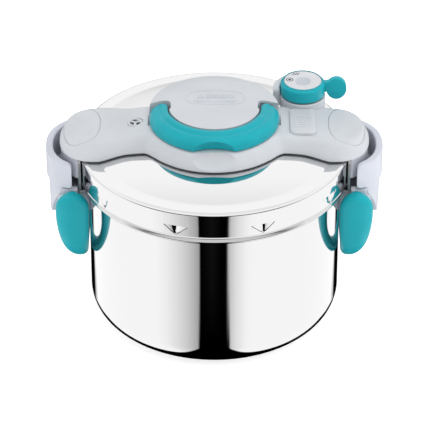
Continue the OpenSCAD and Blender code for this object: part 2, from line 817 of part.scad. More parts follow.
module button_carrier() {
    color(dark) difference() {
        union() {
            block(64, 91, -24, 16.4, carrier_z, carrier_z + 1.2);
            for (x = [button_x - 10, button_x + 10])
                block(x - 0.8, x + 0.8, -17, 12, carrier_z, 185.9);
        }
        rod_z(sel_x, sel_y, 21.6, 170, 200);
    }
}

module button_spring() {
    color(steel) translate([button_x, -3, 0]) spring(4, 0.35, carrier_z + 1.25, 190.15, 4);
}

// ---------- pressure indicator ----------
module at_indicator() { translate([ind_x, 0, 0]) children(); }

module indicator_bezel() {
    color([0.8, 0.81, 0.84]) at_indicator() difference() {
        union() {
            translate([0, 0, 188.6]) cylinder(r = 7, h = 1.8);
            tube(7, 5.8, 186.4, 189);
        }
        for (a = [90:120:330]) rotate([0, 0, a]) translate([2.9, 0, 180]) cylinder(r = 1.6, h = 20, $fn = 32);
    }
}

module indicator_pin() {
    color([0.2, 0.21, 0.23]) at_indicator() {
        translate([0, 0, 167.6]) cylinder(r = 3.6, h = 1.6);
        translate([0, 0, 168.4]) cylinder(r = 2, h = 14.6);
        translate([0, 0, 182.6]) cylinder(r = 4.6, h = 1.4);
        for (a = [90:120:330]) rotate([0, 0, a])
            translate([2.9, 0, 183.6]) cylinder(r = 1.2, h = 6, $fn = 32);
    }
}

module indicator_seal() {
    color(dark) at_indicator() difference() {
        union() {
            translate([0, 0, 174.2]) cylinder(r = 3.45, h = 5);
            translate([0, 0, 173.8]) cylinder(r = 5.2, h = 1.6);
        }
        translate([0, 0, 160]) cylinder(r = ind_r + 0.05, h = 40);
    }
}

// ---------- safety valve ----------
module at_safety() { translate([safe_x, safe_y, 0]) children(); }

module safety_body() {
    color(steel) at_safety() difference() {
        union() {
            translate([0, 0, 168]) cylinder(r = 3.95, h = 10);
            translate([0, 0, 176.2]) cylinder(r = 5.6, h = 5.4);
        }
        translate([0, 0, 160]) cylinder(r = 1.5, h = 30);
        translate([0, 0, 177.6]) cylinder(r = 4.4, h = 10);
    }
}

module safety_poppet() {
    color([0.85, 0.85, 0.8]) at_safety() {
        translate([0, 0, 177.6]) cylinder(r = 2.6, h = 1.2);
        translate([0, 0, 174]) cylinder(r = 1.2, h = 4);
    }
}

module safety_spring() { color(steel) at_safety() spring(2.6, 0.35, 178.85, 181.5, 3); }

module safety_cap() {
    color(steel) at_safety() difference() {
        translate([0, 0, 181.6]) cylinder(r = 5.6, h = 1.2);
        translate([0, 0, 180]) cylinder(r = 1.4, h = 6);
    }
}

pot_body();
base_disc();
base_cap();
bracket(-1);  // bracket_left
bracket(1);  // bracket_right
handle_studs();
handle_screws();
handle_pins(-1);  // handle_pins_left
handle_pins(1);  // handle_pins_right
loop_handle(-1);  // loop_handle_left
loop_handle(1);  // loop_handle_right
lid_shell();
gasket();
lid_studs();
bridge_plate();
bridge_nuts();
bail_bracket();
bail_pins();
beam_shell();
beam_screws();
arm_cap(-1);  // arm_cap_left
arm_cap(1);  // arm_cap_right
center_cover();
bail_handle();
cam_drum(-1);  // cam_drum_left
cam_drum(1);  // cam_drum_right
jaw(-1);  // jaw_left
jaw(1);  // jaw_right
jaw_cover(-1);  // jaw_cover_left
jaw_cover(1);  // jaw_cover_right
jaw_rivets(-1);  // jaw_rivets_left
jaw_rivets(1);  // jaw_rivets_right
valve_housing();
valve_tube();
valve_nut();
valve_plunger();
valve_spring();
selector_ring();
selector_disc();
selector_bowl();
release_button();
button_carrier();
button_spring();
indicator_bezel();
indicator_pin();
indicator_seal();
safety_body();
safety_poppet();
safety_spring();
safety_cap();
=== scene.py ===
"""Jaw-clamp pressure cooker: the looks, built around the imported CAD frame.

Lengths are in metres unless a name ends in _mm. +Z up, X along the beam, -Y the front.
"""
from math import acos, copysign, cos, exp, floor, hypot, pi, radians, sin, sqrt, tau

import bmesh
import bpy
from mathutils import Matrix, Vector
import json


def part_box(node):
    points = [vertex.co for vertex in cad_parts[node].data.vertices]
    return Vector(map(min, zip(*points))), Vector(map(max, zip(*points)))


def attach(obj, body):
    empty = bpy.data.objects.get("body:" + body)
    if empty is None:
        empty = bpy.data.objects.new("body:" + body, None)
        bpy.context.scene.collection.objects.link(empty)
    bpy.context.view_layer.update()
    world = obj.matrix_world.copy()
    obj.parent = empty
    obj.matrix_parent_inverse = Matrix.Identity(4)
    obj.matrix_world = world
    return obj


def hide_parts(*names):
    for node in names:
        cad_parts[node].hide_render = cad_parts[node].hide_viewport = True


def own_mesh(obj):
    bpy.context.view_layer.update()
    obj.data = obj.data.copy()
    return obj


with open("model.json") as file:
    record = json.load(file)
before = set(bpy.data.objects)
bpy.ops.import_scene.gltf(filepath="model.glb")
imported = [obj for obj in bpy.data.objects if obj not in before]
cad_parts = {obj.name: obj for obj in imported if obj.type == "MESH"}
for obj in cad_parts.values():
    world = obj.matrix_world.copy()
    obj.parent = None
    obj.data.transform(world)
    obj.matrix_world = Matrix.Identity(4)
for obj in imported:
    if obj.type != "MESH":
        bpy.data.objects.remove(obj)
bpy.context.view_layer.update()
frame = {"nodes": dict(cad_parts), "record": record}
NODES = frame["nodes"]
MM = 0.001
SIDES = ((-1, "left"), (1, "right"))


# ---- places from the CAD
def low(node):
    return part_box(node)[0]


def high(node):
    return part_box(node)[1]


def middle(node):
    lo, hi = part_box(node)
    return [(a + b) / 2 for a, b in zip(lo, hi)]


def half_x(node):
    return (high(node)[0] - low(node)[0]) / 2


POT_LIP_R = high("pot_body")[0]    # the rolled rim, the widest part of the pot
POT_TOP = high("pot_body")[2]
POT_FLOOR = low("pot_body")[2]
LID_R = high("lid_shell")[1]
LID_LOW = low("lid_shell")[2]
LID_TOP = high("lid_shell")[2]
CAP_R = high("base_cap")[0]
CAP_TOP = high("base_cap")[2]
SHEET = 1.2 * MM                   # thickness of the steel as drawn
POT_R = POT_LIP_R - 7 * MM         # outside of the straight wall
STEEL = 0.68                       # share of the light that polished steel sends back


# ---- camera, light, floor
def look_at(obj, target):
    obj.rotation_euler = (Vector(target) - obj.location).to_track_quat("-Z", "Y").to_euler()


def make_camera():
    tilt = radians(33.24)
    distance = 2.4
    aim = Vector((0, 0, 0.09246))
    data = bpy.data.cameras.new("camera")
    data.lens = 223.2
    data.sensor_width = 36
    data.shift_x = 0.00153
    data.clip_start = 0.1
    data.clip_end = 20
    camera = bpy.data.objects.new("camera", data)
    bpy.context.collection.objects.link(camera)
    camera.location = aim + distance * Vector((0, -cos(tilt), sin(tilt)))
    look_at(camera, aim)
    bpy.context.scene.camera = camera
    bpy.context.scene.view_settings.view_transform = "Standard"


class Graph:
    """Short way to add nodes to a shader tree and link them."""

    def __init__(self, tree):
        self.tree = tree
        tree.nodes.clear()

    def add(self, kind, links=None, **settings):
        node = self.tree.nodes.new("ShaderNode" + kind)
        for key, value in settings.items():
            setattr(node, key, value)
        for key, value in (links or {}).items():
            socket = node.inputs[key]
            if isinstance(value, bpy.types.NodeSocket):
                self.tree.links.new(value, socket)
            else:
                socket.default_value = value
        return node

    def math(self, operation, a, b=0.0, clamp=False):
        return self.add("Math", {0: a, 1: b}, operation=operation, use_clamp=clamp).outputs[0]

    def noise(self, place, scale, detail, rough=0.5):
        inputs = {"Vector": place, "Scale": scale, "Detail": detail, "Roughness": rough}
        return self.add("TexNoise", inputs).outputs["Fac"]

    def remap(self, value, start, end, low_value=0.0, high_value=1.0):
        inputs = {"Value": value, "From Min": start, "From Max": end, "To Min": low_value, "To Max": high_value}
        return self.add("MapRange", inputs).outputs[0]

    def ramp(self, factor, stops):
        node = self.add("ValToRGB", {"Fac": factor})
        ramp = node.color_ramp
        while len(ramp.elements) < len(stops):
            ramp.elements.new(0.5)
        for element, (position, value) in zip(ramp.elements, stops):
            element.position = position
            element.color = value if len(value) == 4 else (*value, 1)
        return node.outputs["Color"]


def grey(value):
    return (value, value, value, 1)


def srgb(value):
    """Linear brightness of an 8-bit grey."""
    v = value / 255
    return v / 12.92 if v <= 0.04045 else ((v + 0.055) / 1.055) ** 2.4


def make_world():
    """Plain white studio. What polished steel mirrors is a pale tent with one black flag in front."""
    world = bpy.data.worlds.new("studio")
    bpy.context.scene.world = world
    world.use_nodes = True
    g = Graph(world.node_tree)
    direction = g.add("TexCoord").outputs["Generated"]
    axes = g.add("SeparateXYZ", {0: direction})
    x, y, z = axes.outputs
    azimuth = g.math("ARCTAN2", x, g.math("MULTIPLY", y, -1))
    around = g.math("ADD", g.math("DIVIDE", azimuth, tau), 0.5)
    rise = g.math("ADD", g.math("MULTIPLY", z, 0.5), 0.5)

    def at(degrees, level):
        return (degrees / 360 + 0.5, grey(srgb(level)))

    def up(height, value):
        return (height / 2 + 0.5, grey(value))

    walls = g.ramp(around, [
        at(-180, 0), at(-151, 4), at(-147, 244), at(-55, 244), at(-45, 236), at(-35, 221), at(-25, 200),
        at(-17, 172), at(-13.2, 150), at(-12.8, 0), at(-2, 15), at(6, 2), at(11.2, 0), at(12.0, 140),
        at(13.4, 190), at(20, 221), at(29, 240), at(36, 244), at(147, 244), at(151, 4), at(179.9, 0)])
    below = g.ramp(rise, [up(-0.26, 1), up(-0.22, 0.08), up(0.1, 0.0)])
    roof = g.ramp(rise, [
        up(0.02, 0.0), up(0.06, 0.1), up(0.1, 0.5), up(0.25, 0.76), up(0.45, 0.88), up(0.57, 0.905), up(0.68, 0.9),
        up(0.74, 0.86), up(0.8, 0.81), up(0.86, 0.74), up(1.0, 0.78)])
    # under the pot the black flag runs on along the floor and widens towards the back
    back = g.math("ADD", g.math("MULTIPLY", y, 0.5), 0.5)
    half_width = g.ramp(back, [up(-0.81, 0.19), up(-0.56, 0.247), up(-0.19, 0.294), up(0.0, 0.336), up(0.24, 0.41),
                               up(0.5, 0.54), up(0.72, 0.46)])
    beside = g.math("SUBTRACT", g.math("ABSOLUTE", x), half_width)
    clear_of_strip = g.remap(beside, -0.01, 0.015)
    near_floor = g.remap(z, -0.56, -0.6)
    strip = g.math("SUBTRACT", 1.0, g.math("MULTIPLY", near_floor, g.math("SUBTRACT", 1.0, clear_of_strip)))
    lower = g.math("MULTIPLY", g.math("MULTIPLY", walls, below), strip)
    # beside the pot there is no dark gap between the walls and the roof
    sides = g.ramp(around, [at(-151, 0), at(-146, 225), at(-78, 225), at(-48, 0), at(48, 0), at(78, 225),
                            at(146, 225), at(151, 0)])
    tent = g.math("MAXIMUM", g.math("ADD", lower, roof), g.math("MULTIPLY", sides, strip))
    paths = g.add("LightPath")
    mirrored = g.add("Background", {"Color": tent, "Strength": 1.0 / STEEL})
    plain = g.add("Background", {"Color": grey(1.0), "Strength": 1.0})
    dome_light = g.ramp(rise, [up(-1, 0.5), up(-0.1, 0.55), up(0.15, 0.72), up(1, 1.0)])
    room = g.add("Background", {"Color": dome_light, "Strength": 0.84})
    seen = g.add("MixShader", {0: paths.outputs["Is Glossy Ray"], 1: room.outputs[0], 2: mirrored.outputs[0]})
    whole = g.add("MixShader", {0: paths.outputs["Is Camera Ray"], 1: seen.outputs[0], 2: plain.outputs[0]})
    g.add("OutputWorld", {"Surface": whole.outputs[0]})


def make_lights():
    def area(name, place, aim, size, energy):
        data = bpy.data.lights.new(name, "AREA")
        data.size = size
        data.energy = energy
        lamp = bpy.data.objects.new(name, data)
        bpy.context.collection.objects.link(lamp)
        lamp.location = place
        look_at(lamp, aim)
        lamp.visible_glossy = False
        return lamp

    area("softbox_top", (0.2, -0.3, 1.6), (0, 0, 0.1), 1.4, 9)
    area("softbox_right", (1.6, -0.35, 0.6), (0, 0, 0.15), 1.0, 7)
    area("softbox_left", (-1.6, -0.2, 0.6), (0, 0, 0.15), 1.0, 4)


def make_floor():
    size = 12.0
    mesh = bpy.data.meshes.new("floor")
    mesh.from_pydata([(-size, -size, 0), (size, -size, 0), (size, size, 0), (-size, size, 0)], [], [(0, 1, 2, 3)])
    ground = new_object("floor", mesh)
    ground.visible_glossy = False
    material = bpy.data.materials.new("floor")
    material.use_nodes = True
    g = Graph(material.node_tree)
    paper = g.add("BsdfPrincipled", {"Base Color": grey(0.9), "Roughness": 0.9,
                                     "Emission Color": grey(1.0), "Emission Strength": 0.5})
    g.add("OutputMaterial", {"Surface": paper.outputs[0]})
    mesh.materials.append(material)


# ---- materials
def material(name):
    made = bpy.data.materials.new(name)
    made.use_nodes = True
    g = Graph(made.node_tree)
    return made, g, g.add("TexCoord").outputs["Object"]


def finish(g, colour, roughness, height, strength, distance, inputs):
    """The shader and output that every material ends with."""
    bump = g.add("Bump", {"Height": height, "Strength": strength, "Distance": distance})
    inputs = {"Base Color": colour, "Roughness": roughness, "Normal": bump.outputs[0], **inputs}
    shader = g.add("BsdfPrincipled", inputs)
    g.add("OutputMaterial", {"Surface": shader.outputs[0]})


def polished_steel(name, tint=STEEL, rough=0.03):
    made, g, place = material(name)
    haze = g.remap(g.noise(place, 18.0, 4.0, 0.6), 0.3, 0.7, rough * 0.6, rough * 1.5)
    polish = g.noise(place, 900.0, 2.0)
    finish(g, (tint, tint, tint * 1.002, 1), haze, polish, 0.004, 0.0002, {"Metallic": 1.0})
    return made


def satin_steel(name, level=0.62, rough=0.28):
    made, g, place = material(name)
    stretched = g.add("Mapping", {"Vector": place, "Scale": (1.0, 30.0, 30.0)}).outputs[0]
    grain = g.noise(stretched, 120.0, 5.0)
    colour = g.ramp(grain, [(0.3, grey(level * 0.85)), (0.7, grey(level * 1.1))])
    roughness = g.remap(grain, 0.0, 1.0, rough * 0.7, rough * 1.3)
    finish(g, colour, roughness, grain, 0.08, 0.0002, {"Metallic": 1.0})
    return made


def plastic(name, colour, rough=0.42, grain=0.05, shine=0.5):
    """Moulded plastic with a fine spark-eroded grain and slight unevenness of tone."""
    made, g, place = material(name)
    cloud = g.noise(place, 35.0, 3.0)
    darker = tuple(c * 0.97 for c in colour)
    lighter = tuple(min(1.0, c * 1.03) for c in colour)
    tone = g.ramp(cloud, [(0.35, darker), (0.65, lighter)])
    roughness = g.remap(cloud, 0.0, 1.0, rough * 0.9, rough * 1.1)
    fine = g.noise(place, 2600.0, 2.0)
    finish(g, tone, roughness, fine, grain, 0.0001, {"IOR": 1.45, "Specular IOR Level": shine})
    return made


def make_materials():
    """One material for each of the record's slots."""
    looks = {
        "pot_steel": (polished_steel, {}),
        "lid_steel": (polished_steel, {}),
        "base_steel": (polished_steel, {"tint": 0.5, "rough": 0.08}),
        "base_aluminium": (satin_steel, {"level": 0.7, "rough": 0.4}),
        "inner_steel": (satin_steel, {}),
        "jaw_steel": (satin_steel, {"level": 0.7, "rough": 0.5}),
        "spring_steel": (satin_steel, {"level": 0.5}),
        "grey_plastic": (plastic, {"colour": (0.545, 0.568, 0.60)}),
        "bracket_plastic": (plastic, {"colour": (0.545, 0.565, 0.63)}),
        "teal_plastic": (plastic, {"colour": (0.006, 0.35, 0.41), "rough": 0.36, "shine": 0.28}),
        "dial_plastic": (plastic, {"colour": (0.61, 0.62, 0.65)}),
        "dial_grey": (plastic, {"colour": (0.50, 0.53, 0.58)}),
        "dark_plastic": (plastic, {"colour": (0.05, 0.05, 0.055)}),
        "seal_rubber": (plastic, {"colour": (0.30, 0.31, 0.32), "rough": 0.6, "grain": 0.1}),
        "indicator_dark": (plastic, {"colour": (0.03, 0.035, 0.045)}),
        "poppet_plastic": (plastic, {"colour": (0.70, 0.70, 0.66)}),
    }
    return {slot: look(slot, **settings) for slot, (look, settings) in looks.items()}


def dress_cad_nodes(materials):
    for part in frame["record"]["subparts"]:
        mesh = NODES[part["node"]].data
        mesh.materials.clear()
        mesh.materials.append(materials[part["material_slot"]])


# ---- mesh building
def arc(cx, cy, radius, start, end, count):
    """Points on a circular arc, angles in degrees."""
    return [(cx + radius * cos(radians(start + (end - start) * i / count)),
             cy + radius * sin(radians(start + (end - start) * i / count))) for i in range(count + 1)]


def mm(points, x=0.0, y=0.0):
    """Points in millimetres, moved by x and y in metres."""
    return [(x + a * MM, y + b * MM) for a, b in points]


def bulge(value, power):
    """A sine or cosine made fuller, for superellipses."""
    return copysign(abs(value) ** (2 / power), value)


def blend_in(t):
    """Smooth step from 0 to 1."""
    t = min(1.0, max(0.0, t))
    return t * t * (3 - 2 * t)


def mark_edges(bm, angle=32):
    """Smooth faces, with a hard edge wherever two faces meet at more than this angle."""
    limit = radians(angle)
    for face in bm.faces:
        face.smooth = True
    for edge in bm.edges:
        edge.smooth = len(edge.link_faces) == 2 and edge.calc_face_angle(0) < limit


def make_mesh(points, faces, angle=32, weld=1e-6):
    bm = bmesh.new()
    made = [bm.verts.new(p) for p in points]
    for face in faces:
        corners = [made[i] for i in face]
        if len(set(face)) == len(face):
            bm.faces.new(corners)
    bmesh.ops.remove_doubles(bm, verts=bm.verts, dist=weld)
    bmesh.ops.dissolve_degenerate(bm, edges=bm.edges, dist=weld)
    bmesh.ops.recalc_face_normals(bm, faces=bm.faces)
    mark_edges(bm, angle)
    mesh = bpy.data.meshes.new("mesh")
    bm.to_mesh(mesh)
    bm.free()
    return mesh


def new_object(name, mesh):
    mesh.name = name
    obj = bpy.data.objects.new(name, mesh)
    bpy.context.collection.objects.link(obj)
    return obj


def piece(name, mesh, body, slot, replaces=(), cuts=(), angle=32, soft=None):
    """A finished piece: cut, rounded, riding on a body, with its finish from a slot."""
    obj = new_object(name, mesh)
    if cuts:
        carve(obj, cuts, angle)
    if soft:
        soften(obj, *soft)
    obj.data.name = name
    obj.data.materials.clear()
    obj.data.materials.append(MATERIALS[slot])
    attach(obj, body)
    if replaces:
        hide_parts(*replaces)
    return obj


def grid_faces(rows, columns, start=0, wrap_rows=False, wrap_columns=False):
    faces = []
    for i in range(rows if wrap_rows else rows - 1):
        for j in range(columns if wrap_columns else columns - 1):
            a = start + i * columns + j
            b = start + i * columns + (j + 1) % columns
            c = start + ((i + 1) % rows) * columns + (j + 1) % columns
            d = start + ((i + 1) % rows) * columns + j
            faces.append((a, b, c, d))
    return faces


def lathe_mesh(outline, segments=256, centre=(0, 0), shape=None, angle=32, turns=None):
    """Turns an outline of (radius, height) about a vertical axis. shape may move each point."""
    turns = turns or [tau * i / segments for i in range(segments)]
    points = []
    for turn in turns:
        for r, z in outline:
            if shape:
                r, z = shape(turn, r, z)
            points.append((centre[0] + r * cos(turn), centre[1] + r * sin(turn), z))
    faces = grid_faces(len(turns), len(outline), wrap_rows=True, wrap_columns=True)
    return make_mesh(points, faces, angle)


def loft_mesh(rings, angle=32, closed=False):
    """Skin over rings of points; the two ends are closed with a face each."""
    count = len(rings[0])
    points = [p for ring in rings for p in ring]
    faces = grid_faces(len(rings), count, wrap_rows=closed, wrap_columns=True)
    if not closed:
        faces.append(tuple(range(count)))
        faces.append(tuple(len(points) - count + i for i in range(count)))
    return make_mesh(points, faces, angle)


def bake(obj):
    """Writes the result of a modifier into the mesh."""
    bpy.context.view_layer.update()
    graph = bpy.context.evaluated_depsgraph_get()
    old, result = obj.data, bpy.data.meshes.new_from_object(obj.evaluated_get(graph))
    obj.modifiers.clear()
    obj.data = result
    bpy.data.meshes.remove(old)


def clean(obj, angle, weld=0.0):
    bm = bmesh.new()
    bm.from_mesh(obj.data)
    if weld:
        bmesh.ops.remove_doubles(bm, verts=bm.verts, dist=weld)
    mark_edges(bm, angle)
    bm.to_mesh(obj.data)
    bm.free()


def carve(obj, cutters, angle):
    """Cuts shapes out of a piece and removes them."""
    for mesh in cutters:
        cutter = new_object("cutter", mesh)
        step = obj.modifiers.new("cut", "BOOLEAN")
        step.operation = "DIFFERENCE"
        step.solver = "EXACT"
        step.object = cutter
        bake(obj)
        bpy.data.objects.remove(cutter)
        bpy.data.meshes.remove(mesh)
    clean(obj, angle, weld=2e-6)


def soften(obj, width, segments=3, angle=40):
    """Rounds the hard edges of a piece."""
    step = obj.modifiers.new("round", "BEVEL")
    step.width = width
    step.segments = segments
    step.limit_method = "ANGLE"
    step.angle_limit = radians(angle)
    step.harden_normals = False
    bake(obj)
    clean(obj, 34)


def prism_mesh(outline, z0, z1, angle=32):
    """Upright prism over an outline of (x, y) points."""
    return loft_mesh([[(x, y, z) for x, y in outline] for z in (z0, z1)], angle)


def shell_mesh(top, under, rows, columns, angle=32):
    """Solid between two grids of points, closed round the rim."""
    n = len(top)
    faces = grid_faces(rows, columns) + grid_faces(rows, columns, start=n)
    rim = [i * columns for i in range(rows)] + [(rows - 1) * columns + j for j in range(1, columns)]
    rim += [i * columns + columns - 1 for i in range(rows - 2, -1, -1)] + [j for j in range(columns - 2, 0, -1)]
    faces += [(a, b, n + b, n + a) for a, b in zip(rim, rim[1:] + rim[:1])]
    return make_mesh(top + under, faces, angle)


def frame_mesh(outer, inner, base, top):
    """Flat frame between two outlines of equally many points."""
    levels = ((outer, top), (inner, top), (inner, base), (outer, base))
    points = [(*p, z) for line, z in levels for p in line]
    return make_mesh(points, grid_faces(4, len(outer), wrap_rows=True, wrap_columns=True))


def ball_mesh(centre, radii, segments=64, tilt=0.0):
    """Ellipsoid used as a cutting shape, tipped about the X axis."""
    rings = segments // 2
    c, s = cos(tilt), sin(tilt)
    points = []
    for i in range(rings + 1):
        up = pi * i / rings
        for j in range(segments):
            turn = tau * j / segments
            x = radii[0] * sin(up) * cos(turn)
            y = radii[1] * sin(up) * sin(turn)
            z = radii[2] * cos(up)
            points.append((centre[0] + x, centre[1] + y * c - z * s, centre[2] + y * s + z * c))
    return make_mesh(points, grid_faces(rings + 1, segments, wrap_columns=True))


def rod_mesh(start, end, radius, segments=64):
    """Round bar between two points."""
    turn = (Vector(end) - Vector(start)).to_track_quat("Z", "Y")
    circle = [turn @ Vector((radius * cos(tau * i / segments), radius * sin(tau * i / segments), 0))
              for i in range(segments)]
    return loft_mesh([[tuple(Vector(base) + p) for p in circle] for base in (start, end)])


def oval(a, b, power, count, centre=(0, 0)):
    """Superellipse outline."""
    turns = [tau * (i + 0.5) / count for i in range(count)]
    return [(centre[0] + a * bulge(cos(t), power), centre[1] + b * bulge(sin(t), power)) for t in turns]


def round_box(half_x, half_y, radius, per_corner=10, centre=(0, 0)):
    points = []
    for sx, sy, start in ((1, 1, 0), (-1, 1, 90), (-1, -1, 180), (1, -1, 270)):
        points += arc(centre[0] + sx * (half_x - radius), centre[1] + sy * (half_y - radius), radius,
                      start, start + 90, per_corner)
    return points


# ---- pot
def make_pot():
    corner = 24 * MM
    cx, cz = POT_R - corner, POT_FLOOR + corner
    lip, top = POT_LIP_R, POT_TOP
    face = lip - 2.6 * MM       # the rim's face leans in by this much
    inside = POT_R - SHEET
    raised = POT_FLOOR + 2.8 * MM
    disc_r = CAP_R - 2.9 * MM
    outline = [(0, raised), (disc_r, raised), (disc_r + 1.8 * MM, POT_FLOOR + 0.2 * MM)]
    outline += arc(cx, cz, corner, -90, 0, 48)
    outline += mm([(0, -60), (0, -20), (0, -3.6), (0, -3.2), (1, -1.2)], POT_R, top)
    outline += mm([(-1.8, -1.2), (-1, -2)], face, top)
    outline += mm([(-1.3, -7.2), (-1.3, -7.8), (-4.5, -7.8), (-4.5, -9)], lip, top)
    outline += arc(lip - 1.5 * MM, top - 7.5 * MM, 1.5 * MM, -90, 22, 12)
    outline += [(lip - 0.16 * MM, top - 6.8 * MM), (face + 0.1 * MM, top - 1.3 * MM)]
    outline += arc(face - 1.35 * MM, top - 1.5 * MM, 1.5 * MM, 28, 90, 8)
    outline += arc(inside + 3 * MM, top - 3 * MM, 3 * MM, 100, 180, 8)
    outline += [(inside, cz + 60 * MM)] + arc(cx, cz, corner - SHEET, 0, -90, 48)
    outline += [(disc_r + 2.6 * MM, POT_FLOOR + SHEET + 0.05 * MM)]
    outline += [(disc_r + 0.8 * MM, raised + SHEET), (0, raised + SHEET)]
    piece("pot_wall", lathe_mesh(outline, 384), "pot", "pot_steel", ["pot_body"])

    edge = 0.6 * MM
    outline = [(0, 0)] + arc(CAP_R - edge, edge, edge, -90, 0, 6) + [(CAP_R, CAP_TOP), (0, CAP_TOP)]
    piece("base_plate", lathe_mesh(outline, 384), "pot", "base_steel", ["base_cap"])


# ---- lid
DENTS = 10
DENT_TOP = LID_LOW + 10.8 * MM
DENT_LOW = LID_LOW + 1.8 * MM
DENT_HALF = 11 * MM
DENT_DEPTH = 1.7 * MM
DENT_TURN = radians(2.2)
SKIRT_R = LID_R - 0.45 * MM
DOME_R = 108 * MM
DOME_RISE = 7.5 * MM
RING_Z = LID_TOP - DOME_RISE     # flat ring round the dome


def dome(r):
    return RING_Z + DOME_RISE * (1 - (r / DOME_R) ** 3) if r < DOME_R else RING_Z


def dented(turn, r, z):
    """Presses the V-shaped dents into the lid's skirt, each with a fine line round it."""
    if r < LID_R - 3 * MM or z > DENT_TOP + 0.5 * MM or z < DENT_LOW:
        return r, z
    height = (min(z, DENT_TOP) - DENT_LOW) / (DENT_TOP - DENT_LOW)
    half = DENT_HALF * height
    step = tau / DENTS
    off = (turn + pi / 2 - DENT_TURN) / step
    off = (off - floor(off) - 0.5) * step * SKIRT_R
    if abs(off) >= half or half <= 0:
        return r, z
    line = 0.25 * MM * blend_in((half - abs(off)) / (0.7 * MM))
    depth = DENT_DEPTH * height ** 0.6 * (1 - abs(off) / half) ** 2.3 + line * blend_in(height * 4)
    return r - depth * (1 - blend_in((z - DENT_TOP) / (0.5 * MM))), z


def dent_turns():
    """Turns round the lid, close together across the dents."""
    turns = []
    reach = (DENT_HALF + 0.6 * MM) / SKIRT_R
    step = tau / DENTS
    for number in range(DENTS):
        centre = step * (number + 0.5) - pi / 2 + DENT_TURN
        turns += [centre - reach + 2 * reach * i / 72 for i in range(73)]
        turns += [centre + reach + (step - 2 * reach) * i / 18 for i in range(1, 18)]
    return turns


def make_lid():
    edge = 3.2 * MM
    steps, rows = 40, 18
    outline = [(DOME_R * i / steps, dome(DOME_R * i / steps)) for i in range(steps + 1)]
    outline += [(DOME_R + 0.4 * MM, RING_Z), (DOME_R + 6 * MM, RING_Z)]
    outline += arc(SKIRT_R - edge, RING_Z - edge, edge, 90, 0, 12)
    skirt = [DENT_TOP + 0.5 * MM, DENT_TOP + 0.25 * MM]
    skirt += [DENT_TOP + (DENT_LOW - DENT_TOP) * i / rows for i in range(rows + 1)]
    outline += [(SKIRT_R, z) for z in skirt]
    outline += [(SKIRT_R, LID_LOW + 1.7 * MM), (LID_R - 0.05 * MM, LID_LOW + 0.85 * MM)]
    outline += arc(LID_R - 0.7 * MM, LID_LOW + 0.7 * MM, 0.7 * MM, 12, -90, 8)
    inside = LID_R - SHEET - 0.3 * MM
    outline += [(inside, LID_LOW)] + [(inside, z) for z in reversed(skirt)]
    outline += [(inside, RING_Z - SHEET - 0.6 * MM), (inside - 0.6 * MM, RING_Z - SHEET)]
    outline += [(DOME_R * i / 20, dome(DOME_R * i / 20) - SHEET) for i in range(20, -1, -1)]
    sheet = lathe_mesh(outline, shape=dented, angle=14, turns=dent_turns())
    piece("lid_sheet", sheet, "lid", "lid_steel", ["lid_shell"])


# ---- beam
BEAM_HALF = high("beam_shell")[0]
BEAM_TOP = high("beam_shell")[2]
HUB_R = -low("beam_shell")[1]
SEL_X, SEL_Y, _ = middle("valve_tube")
HOUSING_R = 20.2 * MM
WAIST_W = 33.7 * MM    # half widths of the beam at its waists and at its lobes
LOBE_W = 39.4 * MM
LOBE_X = 103 * MM
CAP_X = middle("arm_cap_right")[0]
CAP_A = half_x("arm_cap_right")
CAP_B = high("arm_cap_right")[1]


def arm_width(x):
    if x < 75 * MM:
        return WAIST_W
    if x < LOBE_X:
        return WAIST_W + (LOBE_W - WAIST_W) * blend_in((x - 75 * MM) / (LOBE_X - 75 * MM))
    along = min(1.0, (x - LOBE_X) / (BEAM_HALF - LOBE_X))
    return LOBE_W * max(0.0, 1 - along ** 2.4) ** (1 / 2.4)


def beam_width(x):
    x = abs(x)
    hub = sqrt(max(0.0, HUB_R * HUB_R - x * x))
    return (arm_width(x) ** 8 + hub ** 8) ** (1 / 8)


def crown(x):
    x = abs(x)
    return (BEAM_TOP - 2.9 * MM * blend_in((x - 56 * MM) / (20 * MM))
            - 2.4 * MM * blend_in((x - 80 * MM) / (40 * MM)))


def lid_gap(x, y):
    """Height of the beam's lower edge, just above the lid."""
    return max(RING_Z, dome(hypot(x, y))) + 1.4 * MM


def edge_distance(x, y):
    width = beam_width(x)
    slope = (beam_width(abs(x) + 0.5 * MM) - beam_width(abs(x) - 0.5 * MM)) / MM
    return max(0.0, (width - abs(y)) / sqrt(1 + slope * slope))


def soft_min(a, b, room):
    """The smaller of two heights, rounded where they meet."""
    if abs(a - b) >= room:
        return min(a, b)
    return min(a, b) - (room - abs(a - b)) ** 2 / (4 * room)


def beam_surface(x, y):
    d = edge_distance(x, y)
    foot = lid_gap(x, y) + 0.9 * MM + 1.6 * MM * (1 - exp(-d / (1.2 * MM)))
    return soft_min(crown(x), foot + 1.13 * d, 3.2 * MM)


def beam_stations(half, count):
    out = []
    for i in range(-count, count + 1):
        t = i / count
        out.append(half * sin(pi / 2 * t * (1.12 - 0.12 * t * t)))
    return out


